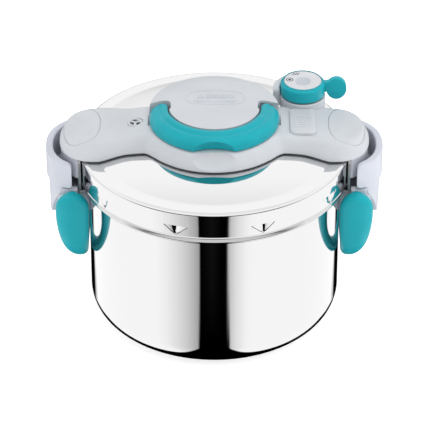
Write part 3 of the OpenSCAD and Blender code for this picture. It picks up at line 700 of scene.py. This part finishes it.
def make_beam():
    nx, ny = 150, 34
    xs = beam_stations(BEAM_HALF - 0.02 * MM, nx)
    ts = [sin(pi / 2 * j / ny) for j in range(-ny, ny + 1)]
    places = [(x, t * max(0.6 * MM, beam_width(x) - 0.02 * MM)) for x in xs for t in ts]
    top = [(x, y, beam_surface(x, y)) for x, y in places]
    under = [(x, y, lid_gap(x, y)) for x, y in places]
    cuts = [surface_plate(side, 0.3 * MM, -1.3 * MM, 4 * MM) for side in (-1, 1)]
    lean = radians(46)
    scoop = Vector((0, -61.2 * MM, beam_surface(0, -61.2 * MM)))
    scoop += 1.7 * MM * Vector((0, -sin(lean), cos(lean)))
    cuts.append(ball_mesh(scoop, (24.5 * MM, 10.4 * MM, 5.6 * MM), 128, tilt=lean))
    bx, ix = middle("release_button")[0], middle("indicator_bezel")[0]
    button = round_box(half_x("release_button") + 0.1 * MM, 21.1 * MM, 5.1 * MM, centre=(bx, 0))
    cuts.append(prism_mesh(button, 0.186, 0.2))
    cuts.append(rod_mesh((ix, 0, 0.186), (ix, 0, 0.2), 7.12 * MM))
    cuts.append(rod_mesh((SEL_X, SEL_Y, 0.17), (SEL_X, SEL_Y, 0.21), HOUSING_R + 0.15 * MM, 96))
    cuts.append(rod_mesh((0, 0, 0.17), (0, 0, 0.21), 36 * MM, 96))
    cuts.append(prism_mesh(round_box(41.6 * MM, 2.2 * MM, 2.1 * MM), 0.17, 0.21))   # way for the follower pins
    for x0, x1 in ((-58.5 * MM, -41 * MM), (41 * MM, 58.5 * MM)):
        cuts.append(rod_mesh((x0, 0, BAIL_Z), (x1, 0, BAIL_Z), 11 * MM))
    solid = shell_mesh(top, under, len(xs), len(ts))
    piece("beam_cover", solid, "lid", "grey_plastic", ["beam_shell"], cuts, 38)


def surface_plate(side, grow, below, above):
    """Oval plate that follows the beam's top on one arm."""
    rings, sides = 14, 96
    x0 = side * CAP_X
    places = [(x0, 0)]
    for k in range(1, rings + 1):
        line = oval((CAP_A + grow) * k / rings, (CAP_B + grow) * k / rings, 2.3, sides)
        places += [(x0 + side * x, y) for x, y in line]
    n = len(places)
    faces = []
    for offset in (0, n):
        faces += [(offset, offset + 1 + (j + 1) % sides, offset + 1 + j) for j in range(sides)]
        faces += grid_faces(rings, sides, start=offset + 1, wrap_columns=True)
    last = 1 + (rings - 1) * sides
    faces += [(last + j, last + (j + 1) % sides, n + last + (j + 1) % sides, n + last + j) for j in range(sides)]
    return make_mesh([(x, y, beam_surface(x, y) + rise) for rise in (above, below) for x, y in places], faces)


def make_arm_caps():
    for side, word in SIDES:
        plate = surface_plate(side, 0, -1.15 * MM, 0)
        piece(f"cap_{word}", plate, "lid", "grey_plastic", [f"arm_cap_{word}"], soft=(0.25 * MM, 2))


# ---- round cover and bail
BAIL_Z = middle("bail_pins")[2]
BAIL_R = high("bail_handle")[0]
COVER_IN = 40 * MM
SWEPT = 22 * MM        # width of the cover's part that the bail swings through
COVER_Z = 207.5 * MM
SEAT_Z = BEAM_TOP + 0.3 * MM


def cover_top(r):
    if r < COVER_IN:
        return COVER_Z + 1.6 * MM * (1 - (r / COVER_IN) ** 2)
    return COVER_Z - 0.09 * (r - COVER_IN) - 6.4 * (r - COVER_IN) ** 2


def raised_sign(name, outline, lift):
    """Low plain relief that follows the cover's gentle dome, coloured in the darker dial grey as painted shade of
    the relief.
    """
    rings = [[(x, y, cover_top(hypot(x, y)) + rise) for x, y in outline] for rise in (-0.3 * MM, lift)]
    # dial grey, darker than the cover's own grey, is painted shade: the real relief has the cover's colour
    piece(name, loft_mesh(rings, 40), "lid", "dial_grey", ["center_cover"], soft=(0.1 * MM, 2))


def make_badge():
    """Plain relief on the cover: a rounded frame round a triangle, four blocks and two bars."""
    x0, y0 = 1.0 * MM, 11.2 * MM
    rings = []
    for x, y in oval(25.6 * MM, 12.0 * MM, 3.2, 200):
        rings.append([])
        for i in range(8):
            t = tau * i / 8
            out = 1 + 0.5 * MM * cos(t) / hypot(x, y)
            px, py = x0 + x * out, y0 + y * out
            rings[-1].append((px, py, cover_top(hypot(px, py)) + 0.05 * MM + 0.34 * MM * sin(t)))
    piece("badge_frame", loft_mesh(rings, 60, closed=True), "lid", "grey_plastic", ["center_cover"])
    # the triangle, blocks and bars get a darker grey than the frame, as painted shade of the relief
    row = y0 + 1.6 * MM
    raised_sign("badge_triangle", mm([(-16.5, -2.9), (-9.5, -2.9), (-13, 3.1)], x0, row), 0.42 * MM)
    for number in range(4):
        centre = (x0 + (6.3 * number - 4.8) * MM, row)
        raised_sign(f"badge_block_{number}", round_box(2.6 * MM, 2.9 * MM, 0.9 * MM, 4, centre), 0.42 * MM)
    for number, (half, y) in enumerate(((19.5, -5.6), (16.0, -8.0))):
        bar = round_box(half * MM, 0.75 * MM, 0.6 * MM, 4, (x0, y0 + y * MM))
        raised_sign(f"badge_bar_{number}", bar, 0.36 * MM)


def make_cover():
    edge = 1.5 * MM
    flat = BAIL_R - edge
    outline = [(flat * i / 40, cover_top(flat * i / 40)) for i in range(41)]
    outline += arc(flat, cover_top(flat) - edge, edge, 78, 0, 8)
    outline += [(BAIL_R + 0.4 * MM, SEAT_Z), (0, SEAT_Z)]
    front = arc(0, 0, COVER_IN, -180, 0, 60) + mm([(70, 0), (70, -70), (-70, -70), (-70, 0)])
    cuts = [prism_mesh(front, 0.18, 0.22)]
    nose_x = (COVER_IN + BAIL_R) / 2 - 0.4 * MM
    for side in (-1, 1):
        cuts.append(prism_mesh(oval(10.1 * MM, 9.1 * MM, 3.6, 64, (side * nose_x, 0)), 0.18, 0.22))
        swept = prism_mesh(arc(0, BAIL_Z, 10.4 * MM, -90, 38, 24) + [(0, BAIL_Z)], 0, 1)
        swept.transform(Matrix(((0, 0, side * SWEPT, side * COVER_IN), (1, 0, 0, 0), (0, 1, 0, 0), (0, 0, 0, 1))))
        cuts.append(swept)
        cuts.append(rod_mesh((side * 30 * MM, 0, BAIL_Z), (side * 45 * MM, 0, BAIL_Z), 6.9 * MM))
    piece("round_cover", lathe_mesh(outline, 360), "lid", "grey_plastic", ["center_cover"], cuts, 30)
    make_badge()


def bail_section(share, droop=0.0):
    """Cross-section of the bail as (radius, height).

    share shrinks it towards its rounded ends, droop lowers its lip.
    """
    inner, outer = 41.0 * MM, BAIL_R
    points = mm([(1.3, 199), (0.6, 202.2), (0, 205)], inner) + arc(inner + 1.0 * MM, 0.2061, 1.0 * MM, 180, 95, 5)
    points += mm([(2.6, 207.18), (3.8, 207.05), (4.8, 206.68), (5.6, 206.1), (6.2, 205.5), (6.8, 205.15),
                  (7.6, 205), (8.6, 205)], inner)
    shoulder = inner + 8.6 * MM
    for i in range(1, 15):
        t = pi / 2 * i / 14
        points.append((shoulder + (outer - shoulder) * sin(t), 0.205 - 0.0109 * (1 - cos(t))))
    points += arc(outer - 0.7 * MM, 0.1938, 0.7 * MM, 0, -90, 4)
    points += mm([(8, 193.1), (3, 193.1), (1.8, 194.5)], inner)
    middle_r = (inner + outer) / 2
    out = []
    for r, z in points:
        rise = (z - BAIL_Z) * (1 - 0.35 * (1 - share) ** 2) * (1 - droop if z > BAIL_Z else 1)
        out.append((middle_r + (r - middle_r) * share, BAIL_Z + rise))
    return out


BAIL_DROOP = 0.13      # share of the lip's height taken off beside the pivots


def bail_droop(turn):
    """Lip lowered beside the pivots, so that it clears the cover as the bail stands up."""
    along = -sin(turn) * 41 * MM
    return BAIL_DROOP * (1 - blend_in((along - 9 * MM) / (11 * MM)))


def make_bail():
    tip = 7.1 * MM
    ends = [pi / 2 * i / 12 for i in range(12, 0, -1)]

    def rounded_end(side, turns):
        return [[(side * r, tip * sin(t), z) for r, z in bail_section(max(0.03, cos(t)), BAIL_DROOP)]
                for t in turns]

    rings = rounded_end(-1, ends)
    for i in range(121):
        turn = pi + pi * i / 120
        section = bail_section(1, bail_droop(turn))
        rings.append([(r * cos(turn), r * sin(turn), z) for r, z in section])
    rings += rounded_end(1, ends[::-1])
    notch = ball_mesh((0, -BAIL_R - 4.4 * MM, BAIL_Z - 8 * MM), (23 * MM, 12.4 * MM, 15.5 * MM), 128)
    piece("bail_grip", loft_mesh(rings, 34), "bail", "teal_plastic", ["bail_handle"], [notch], 34)
    for side, word in SIDES:
        hub = rod_mesh((side * 41 * MM, 0, BAIL_Z), (side * 47 * MM, 0, BAIL_Z), 6.3 * MM)
        piece(f"bail_hub_{word}", hub, "bail", "teal_plastic", soft=(0.5 * MM,))


# ---- brackets and hoops
HOOP_C = 100 * MM
HOOP_OUT = (high("bracket_right")[0] - HOOP_C, 46 * MM)
HOOP_IN = (HOOP_OUT[0] - 6.5 * MM, 40.5 * MM)
HOOP_POWER = 2.3
HOOP_END_X = 124.9 * MM
HOOP_TOP = high("bracket_right")[2]
BLOCK_LOW = low("bracket_right")[2]
HINGE_X = 124.7 * MM
HINGE_Z = 130 * MM


def hoop_plan(share):
    """Half axes of the hoop's plan; share runs from 0 at the inner face to 1 at the outer face."""
    return [a + (b - a) * share for a, b in zip(HOOP_IN, HOOP_OUT)]


def hoop_point(share, turn):
    a, b = hoop_plan(share)
    return HOOP_C + a * bulge(cos(turn), HOOP_POWER), b * bulge(sin(turn), HOOP_POWER)


def band_section(z0, z1, edge):
    """Rounded upright section as (share of thickness, height)."""
    across = edge / (6.5 * MM)
    corners = ((1 - across, z1 - edge, 0), (across, z1 - edge, 90),
               (across, z0 + edge, 180), (1 - across, z0 + edge, 270))
    out = []
    for share, z, start in corners:
        for i in range(7):
            t = radians(start + 90 * i / 6)
            out.append((share + across * cos(t), z + edge * sin(t)))
    return out


def hoop_x(share, y):
    """Distance of the hoop from the middle at a given y."""
    a, b = hoop_plan(share)
    return HOOP_C + a * max(0.0, 1 - (abs(y) / b) ** HOOP_POWER) ** (1 / HOOP_POWER)


def hoop_reach(share):
    """Angle at which the hoop's plan reaches the flat ends of the hoop."""
    return acos(((HOOP_END_X - HOOP_C) / hoop_plan(share)[0]) ** (HOOP_POWER / 2))


def make_hoop(side, word):
    low_mid, low_end = 142.8 * MM, 145.3 * MM
    rings = []
    for i in range(121):
        along = i / 60 - 1
        near = max(0.0, 1 - (1 - abs(along)) / 0.13)
        round_off = 4.0 * MM * (1 - sqrt(max(0.0, 1 - near * near)))
        _, y = hoop_point(1, hoop_reach(1) * along)
        base = low_mid + (low_end - low_mid) * blend_in((abs(y) - 34 * MM) / (4 * MM)) + round_off
        rings.append([])
        for share, z in band_section(base, HOOP_TOP - 0.6 * round_off, 1.5 * MM):
            x, y = hoop_point(share, hoop_reach(share) * along)
            rings[-1].append((side * x, y, z))
    piece(f"hoop_{word}", loft_mesh(rings, 40), "pot", "bracket_plastic", [f"bracket_{word}"])


def make_bracket_web(side, word):
    rings = []
    for i in range(31):
        z = BLOCK_LOW + (147 * MM - BLOCK_LOW) * i / 30
        widen = min(1.0, (z - BLOCK_LOW) / (31 * MM))
        half = 14 * MM + 19 * MM * widen + 2 * MM * blend_in((z - 138 * MM) / (9 * MM))
        pinch = 0.7 * MM * (1 - i / 30)
        ys = [half * sin(pi / 2 * j / 14) for j in range(-14, 15)]
        outer = [(side * (hoop_x(1, y) - pinch - 1.8 * MM), y, z) for y in ys]
        inner = [(side * max(130.4 * MM, hoop_x(0, y) + 0.4 * MM), y, z) for y in ys]
        rings.append(outer + inner[::-1])
    piece(f"bracket_web_{word}", loft_mesh(rings, 40), "pot", "bracket_plastic", [f"bracket_{word}"],
          soft=(1.2 * MM, 4))


def make_brackets():
    for side, word in SIDES:
        def add(name, outline, z0, z1, soft):
            mesh = prism_mesh([(side * x, y) for x, y in outline], z0, z1)
            piece(name, mesh, "pot", "bracket_plastic", [f"bracket_{word}"], soft=soft)

        make_hoop(side, word)
        make_bracket_web(side, word)
        ledge = mm([(130.4, -33.6), (120, -33.6), (120, -39.3)])
        ledge += [(hoop_x(0.4, y * MM), y * MM) for y in range(-39, 40, 3)]
        ledge += mm([(120, 39.3), (120, 33.6), (130.4, 33.6)])
        add(f"bracket_ledge_{word}", ledge, 142.9 * MM, 145 * MM, (0.5 * MM, 2))
        for end, place in ((-1, "front"), (1, "rear")):
            cheek = round_box(6.9 * MM, 2.85 * MM, 1.2 * MM, 5, (127 * MM, end * 36.6 * MM))
            add(f"bracket_cheek_{word}_{place}", cheek, 118 * MM, 144.6 * MM, (0.8 * MM, 3))

        half = 15.5 * MM
        foot = [(138.5 * MM, -half), (138.5 * MM, half)]
        foot += [(sqrt((POT_R + 0.02 * MM) ** 2 - y * y), y) for y in (half * (1 - i / 12) for i in range(25))]
        add(f"bracket_foot_{word}", foot, BLOCK_LOW + 0.4 * MM, BLOCK_LOW + 28 * MM, (2 * MM, 4))

        rings = []
        for y in (-39.5, -39.2, -38.4, 38.4, 39.2, 39.5):
            inset = 1.1 * MM * (1 - sqrt(max(0.0, 1 - (max(0.0, abs(y) - 38.4) / 1.1) ** 2)))
            section = round_box(9 * MM - inset, 8.8 * MM - inset, 5 * MM, 8, (128.8 * MM, 127 * MM))
            rings.append([(side * x, y * MM, z) for x, z in section])
        piece(f"bracket_arm_{word}", loft_mesh(rings, 40), "pot", "bracket_plastic", [f"bracket_{word}"])


# ---- folding loop handles
LOOP_C = 112.5 * MM     # height of the loop's centre; below it the loop is a half circle
LOOP_W = 6 * MM
LOOP_R = 46 * MM
LOOP_END = HINGE_Z
LOOP_TIP_R = 14.7 * MM


def loop_depth(z):
    """Inner and outer distance of a loop handle from the pot's axis at height z."""
    if z > LOOP_END:
        half = sqrt(max(0.0, LOOP_TIP_R ** 2 - (z - LOOP_END) ** 2))
        return HINGE_X - half, HINGE_X + half
    d = (126 * MM - z) / MM
    inner, outer = (110.2 + 0.0009 * d * d) * MM, (139.6 - 0.03 * d - 0.0033 * d * d) * MM
    blend = blend_in((z - 112 * MM) / (LOOP_END - 112 * MM))
    return (inner + (HINGE_X - LOOP_TIP_R - inner) * blend, outer + (HINGE_X + LOOP_TIP_R - outer) * blend)


def loop_ring(side, y, z, ny, nz, width):
    ring = []
    for i in range(48):
        t = tau * (i + 0.5) / 48
        out = width * bulge(cos(t), 2.3)
        point_y, point_z = y + ny * out, z + nz * out
        inner, outer = loop_depth(point_z)
        across = bulge(sin(t), 2.6)
        ring.append((side * ((inner + outer) / 2 + (outer - inner) / 2 * across), point_y, point_z))
    return ring


def make_loops():
    for side, word in SIDES:
        heights = [LOOP_END + LOOP_TIP_R - 0.02 * MM]
        heights += [LOOP_END + LOOP_TIP_R * sin(pi / 2 * i / 14) for i in range(13, 0, -1)]
        heights += [LOOP_C + (LOOP_END - LOOP_C) * i / 10 for i in range(10, 0, -1)]
        leg = [(z, LOOP_W * (1 - 0.22 * max(0.0, (z - LOOP_END) / LOOP_TIP_R) ** 4)) for z in heights]
        rings = [loop_ring(side, -LOOP_R, z, -1, 0, width) for z, width in leg]
        for i in range(65):
            turn = pi + pi * i / 64
            ny, nz = cos(turn), sin(turn)
            rings.append(loop_ring(side, LOOP_R * ny, LOOP_C + LOOP_R * nz, ny, nz, LOOP_W))
        rings += [loop_ring(side, LOOP_R, z, 1, 0, width) for z, width in reversed(leg)]
        piece(f"loop_{word}", loft_mesh(rings, 60), f"loop_{word}", "teal_plastic", [f"loop_handle_{word}"])
        for end, place in ((-1, "front"), (1, "rear")):
            inner, outer = ((side * HINGE_X, end * y * MM, HINGE_Z) for y in (30, 50))
            pin = rod_mesh(inner, outer, 2.5 * MM)
            node = f"handle_pins_{word}"
            piece(f"hinge_pin_{word}_{place}", pin, "pot", "inner_steel", [node], soft=(0.4 * MM,))


# ---- jaws
JAW_T = 2 * MM
JAW_R = 121.7 * MM
JAW_LOW = low("jaw_right")[2]
JAW_TOP = 175.9 * MM


def jaw_line():
    """Middle line of the pressed sheet in mm: (distance, height, half width, share of the rim's curve)."""
    r, top, foot = (JAW_R + JAW_T / 2) / MM, (JAW_TOP - JAW_T / 2) / MM, (JAW_LOW + JAW_T / 2) / MM
    line = [(x, 181.4, 15, 0.0) for x in (31.5, 60, 90, 94)]
    line += [(98, 178.2, 15.5, 0.1), (101, 175.4, 17, 0.4), (103.5, top, 20, 0.8), (108, top, 22, 1.0)]
    line += [(r - 3 + x, z, 22, 1.0) for x, z in arc(0, top - 3, 3, 90, 0, 6)]
    line += [(r, z, half, 1.0) for z, half in (
        (171.5, 22), (171, 29), (170, 31.6), (168.5, 32.7), (167, 33), (150, 33), (142, 33))]
    line += [(r - 2 + x, z, 33 - 0.5 * i, 1.0) for i, (x, z) in enumerate(arc(0, foot + 2, 2, 0, -90, 5))]
    return line + [(r - 7.2, foot, 29, 1.0)]


def make_jaws():
    line = [(x * MM, z * MM, half * MM, bend) for x, z, half, bend in jaw_line()]
    columns = 37
    for side, word in SIDES:
        grids = []
        for shift in (JAW_T / 2, -JAW_T / 2):
            grids.append([])
            for k, (x, z, half, bend) in enumerate(line):
                before, after = line[max(0, k - 1)], line[min(len(line) - 1, k + 1)]
                dx, dz = after[0] - before[0], after[1] - before[1]
                size = hypot(dx, dz)
                px, pz = x - dz / size * shift, z + dx / size * shift
                for j in range(columns):
                    y = half * (2 * j / (columns - 1) - 1)
                    curve = bend * (px - sqrt(max(0.0, px * px - y * y)))
                    grids[-1].append((side * (px - curve), y, pz))
        slot = prism_mesh(round_box(15 * MM, 6.5 * MM, 2 * MM, centre=(side * 73 * MM, 0)), 0.17, 0.19)
        sheet = shell_mesh(*grids, len(line), columns, 34)
        body, nodes = f"jaw_{word}_body", [f"jaw_{word}"]
        piece(f"jaw_sheet_{word}", sheet, body, "jaw_steel", nodes, [slot], 34)
        x = side * 33.1 * MM
        pin = rod_mesh((x, 0, 181.9 * MM), (x, 0, 195.4 * MM), 1.6 * MM)
        piece(f"follower_{word}", pin, body, "jaw_steel", nodes, soft=(0.3 * MM,))


def make_jaw_covers():
    inner_r = JAW_R + JAW_T + 0.05 * MM
    base, top = low("jaw_cover_right")[2], high("jaw_cover_right")[2]
    edge = 1.8 * MM
    levels = [(base + edge + dz, r) for r, dz in arc(0, 0, edge, -90, 0, 6)]
    levels += [(base + (top - base) * i / 8, edge) for i in range(2, 7)]
    levels += [(top - edge + dz, r) for r, dz in arc(0, 0, edge, 0, 90, 6)]
    for side, word in SIDES:
        rings = []
        for z, r in levels:
            inset = edge - r
            a, b = 35.8 * MM - inset, 38.5 * MM - inset
            ys = [(33 * MM - inset) * sin(pi / 2 * j / 24) for j in range(-24, 25)]
            inner = [sqrt(inner_r ** 2 - y * y) for y in ys]
            outer = [HOOP_C + a * max(0.0, 1 - (abs(y) / b) ** HOOP_POWER) ** (1 / HOOP_POWER) for y in ys]
            ring = [(side * max(o, i + 0.3 * MM), y, z) for o, i, y in zip(outer, inner, ys)]
            rings.append(ring + [(side * i, y, z) for i, y in zip(inner, ys)][::-1])
        places = ((-10 * MM, "front"), (10 * MM, "rear"))
        body, z = f"jaw_{word}_body", 163 * MM
        holes = [rod_mesh((side * 131.9 * MM, y, z), (side * 140 * MM, y, z), 2.95 * MM) for y, _ in places]
        piece(f"cover_jaw_{word}", loft_mesh(rings, 38), body, "bracket_plastic", [f"jaw_cover_{word}"], holes, 34)
        for y, place in places:
            rivet = rod_mesh((side * 124 * MM, y, z), (side * 133.4 * MM, y, z), 2.8 * MM, 48)
            piece(f"rivet_{word}_{place}", rivet, body, "inner_steel", [f"jaw_rivets_{word}"], soft=(0.5 * MM,))


# ---- steam selector
SEL_R = 19.7 * MM
SEL_LOW = 196.8 * MM
SEL_TOP = 210 * MM
DISC_TOP = high("selector_disc")[2]


def make_selector():
    here = (SEL_X, SEL_Y)
    inner = 17.1 * MM
    outline = [(inner, SEL_LOW), (SEL_R - 1.2 * MM, SEL_LOW)]
    outline += arc(SEL_R - 1.2 * MM, SEL_LOW + 1.2 * MM, 1.2 * MM, -80, 0, 6) + [(SEL_R, SEL_TOP - 3.1 * MM)]
    outline += arc(SEL_R - 1.1 * MM, SEL_TOP - 3.1 * MM, 1.1 * MM, 0, 45, 4)
    outline += mm([(-2.55, -0.25), (-2.95, 0)], SEL_R, SEL_TOP) + mm([(0.25, 0), (0, -0.25)], inner, SEL_TOP)
    collar = lathe_mesh(outline, 200, here, angle=24)
    piece("selector_collar", collar, "selector", "teal_plastic", ["selector_ring"])

    line = mm([(18.4, 208.6), (20.6, 208.8)])
    for i in range(65):
        t = radians(138 - 302 * i / 64)
        line.append(((29.9 + 9 * cos(t)) * MM, (202.4 + 10.4 * sin(t)) * MM))
    line += mm([(20.6, 199.2), (18.4, 199.2)])
    wing = loft_mesh([[(SEL_X + x, SEL_Y + y, z) for x, z in line] for y in (-2.9 * MM, 2.9 * MM)], 40)
    piece("selector_wing", wing, "selector", "teal_plastic", ["selector_ring"], soft=(1.3 * MM, 4))

    outline = mm([(6.7, -2.2), (16.65, -2.2), (16.65, -0.35)], 0, DISC_TOP)
    outline += arc(16.3 * MM, DISC_TOP - 0.35 * MM, 0.35 * MM, 0, 90, 4)
    outline += mm([(9.4, 0), (9.2, -0.12), (7.4, -0.16), (6.7, -0.5)], 0, DISC_TOP)
    piece("dial_face", lathe_mesh(outline, 160, here, angle=30), "selector", "dial_plastic", ["selector_disc"])

    outline = mm([(0, -4.2), (6.65, -4.2), (6.65, -0.45), (6.15, -0.25)], 0, DISC_TOP)
    outline += mm([(6.15 - 6.15 * i / 16, -0.25 - 2.4 * sin(pi / 2 * i / 16)) for i in range(1, 17)],
                  0, DISC_TOP)
    piece("dial_bowl", lathe_mesh(outline, 96, here, angle=40), "selector", "dial_grey", ["selector_bowl"])
    make_dial_signs()


def make_dial_signs():
    """Two plain signs for the valve's settings: a ring with a dot, and three slanting bars."""
    base, top = DISC_TOP - 0.3 * MM, DISC_TOP + 0.06 * MM
    x, y = SEL_X - 11.6 * MM, SEL_Y + 1.6 * MM
    outer, inner = (oval(r * MM, r * MM, 2, 40, (x, y)) for r in (3.2, 2.5))
    signs = {"ring": frame_mesh(outer, inner, base, top)}
    signs["dot"] = prism_mesh(oval(1.4 * MM, 1.4 * MM, 2, 32, (x, y)), base, top)
    x, y = SEL_X - 5.8 * MM, SEL_Y + 11.6 * MM
    for number in range(3):
        bar = round_box(0.48 * MM, 2.1 * MM, 0.46 * MM, 4, (x + (number - 1) * 2.0 * MM, y))
        signs[f"bar_{number}"] = prism_mesh([(px + (py - y) * 0.5, py) for px, py in bar], base, top)
    for name, mesh in signs.items():
        piece(f"dial_sign_{name}", mesh, "selector", "dark_plastic", ["selector_disc"])


def make_housing():
    r = HOUSING_R / MM
    outline = mm([(17.5, 178.6), (r, 178.6), (r, 195.1), (r - 0.5, 195.6), (17.5, 195.6),
                  (17.5, 188.5), (4.4, 188.5), (4.4, 186), (17.5, 186)])
    piece("valve_cup", lathe_mesh(outline, 160, (SEL_X, SEL_Y)), "lid", "grey_plastic", ["valve_housing"])
    r0, r1 = SEL_R + 0.8 * MM, 26.4 * MM
    z0, z1 = 186 * MM, 203 * MM
    rings = []
    for i in range(73):
        turn = radians(78 + 110 * i / 72)
        end = min(1.0, min(i, 72 - i) / 8)
        top = z1 - 2.2 * MM * (1 - sqrt(max(0.0, 1 - (1 - end) ** 2)))
        section = [(r0, z0), (r1, z0)] + arc(r1 - 1.5 * MM, top - 1.5 * MM, 1.5 * MM, 0, 90, 6)
        section += arc(r0 + 1.0 * MM, top - 1.0 * MM, 1.0 * MM, 90, 180, 4)
        rings.append([(SEL_X + q * cos(turn), SEL_Y + q * sin(turn), z) for q, z in section])
    piece("selector_guard", loft_mesh(rings, 40), "lid", "grey_plastic", ["valve_housing"])


# ---- button and pressure indicator
def make_button():
    bx, half, long_half = middle("release_button")[0], half_x("release_button"), 21 * MM
    base, top = low("release_button")[2], high("release_button")[2]
    edge = 1.9 * MM
    crest = top - 0.3 * MM      # the frame and ribs stand above the button's face
    rings = [[(x, y, base) for x, y in round_box(half, long_half, 5 * MM, 8, (bx, 0))]]
    for r, z in arc(0, crest - edge, edge, 0, 90, 6):
        inset = edge - r
        line = round_box(half - inset, long_half - inset, 5 * MM - inset, 8, (bx, 0))
        rings.append([(x, y, z) for x, y in line])
    room = rod_mesh((SEL_X, SEL_Y, 0.18), (SEL_X, SEL_Y, 0.21), HOUSING_R + 0.5 * MM, 128)
    piece("button_cap", loft_mesh(rings, 40), "button", "grey_plastic", ["release_button"], [room], 36,
          (0.4 * MM, 2, 60))
    foot = top - 0.5 * MM
    outer, inner = (round_box(w * MM, h * MM, r * MM, 8, (bx, -3.6 * MM))
                    for w, h, r in ((7.2, 8.4, 2.6), (6.5, 7.7, 1.9)))
    marks = {"button_frame": frame_mesh(outer, inner, foot, top)}
    for number, y in enumerate((-7.6 * MM, -3.6 * MM, 0.4 * MM)):
        marks[f"button_rib_{number}"] = prism_mesh(round_box(3.6 * MM, 0.7 * MM, 0.65 * MM, 5, (bx, y)), foot, top)
    for name, mesh in marks.items():
        piece(name, mesh, "button", "grey_plastic", ["release_button"])


def make_indicator():
    x, _, _ = middle("indicator_bezel")
    top = high("indicator_bezel")[2]
    outline = mm([(0, -1.8), (5.8, -1.8), (5.8, -4), (7, -4), (7, -0.7)], 0, top)
    outline += arc(6.3 * MM, top - 0.7 * MM, 0.7 * MM, 0, 90, 6) + mm([(5.5, 0), (5.1, -0.25), (0, -0.3)], 0, top)
    cuts = []
    for turn in (90, 210, 330):
        t = radians(turn)
        slot = arc(x, 0, 4.7 * MM, turn - 46, turn + 46, 10) + [(x + 1.2 * MM * cos(t), 1.2 * MM * sin(t))]
        cuts.append(prism_mesh(slot, top - 6 * MM, top + 1 * MM))
    bezel = lathe_mesh(outline, 128, (x, 0), angle=30)
    piece("bezel", bezel, "lid", "grey_plastic", ["indicator_bezel"], cuts, 30)


# ---- springs
SPRINGS = (
    # node, body, joint, turns, wire radius, travel, height that moves
    ("safety_spring", "safety_valve", "safety_lift", 3, 0.35 * MM, 1.0 * MM, low("safety_spring")[2]),
    ("button_spring", "button", "button_press", 4, 0.35 * MM, 1.5 * MM, high("button_spring")[2]),
    ("valve_spring", "plunger", "plunger_lift", 3, 0.5 * MM, 2.0 * MM, low("valve_spring")[2]),
)


def make_springs():
    """Wound springs of round wire, one coil round each spring's place, built at rest."""
    for node, body, joint, turns, wire, travel, moving in SPRINGS:
        x, y, _ = middle(node)
        bottom, top = low(node)[2] + wire, high(node)[2] - wire
        radius = half_x(node) - wire
        rings = []
        steps = 40 * turns
        for i in range(steps + 1):
            t = tau * turns * i / steps
            z = bottom + (top - bottom) * i / steps
            section = arc(radius, z, wire, 0, 360, 12)[:-1]
            rings.append([(x + r * cos(t), y + r * sin(t), h) for r, h in section])
        coil = piece(f"{node}_coil", loft_mesh(rings, 60), body, "spring_steel", [node])
        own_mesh(coil)


make_camera()
make_world()
make_lights()
make_floor()
MATERIALS = make_materials()
dress_cad_nodes(MATERIALS)
make_pot()
make_lid()
make_beam()
make_arm_caps()
make_cover()
make_bail()
make_brackets()
make_loops()
make_jaws()
make_jaw_covers()
make_selector()
make_housing()
make_button()
make_indicator()
make_springs()
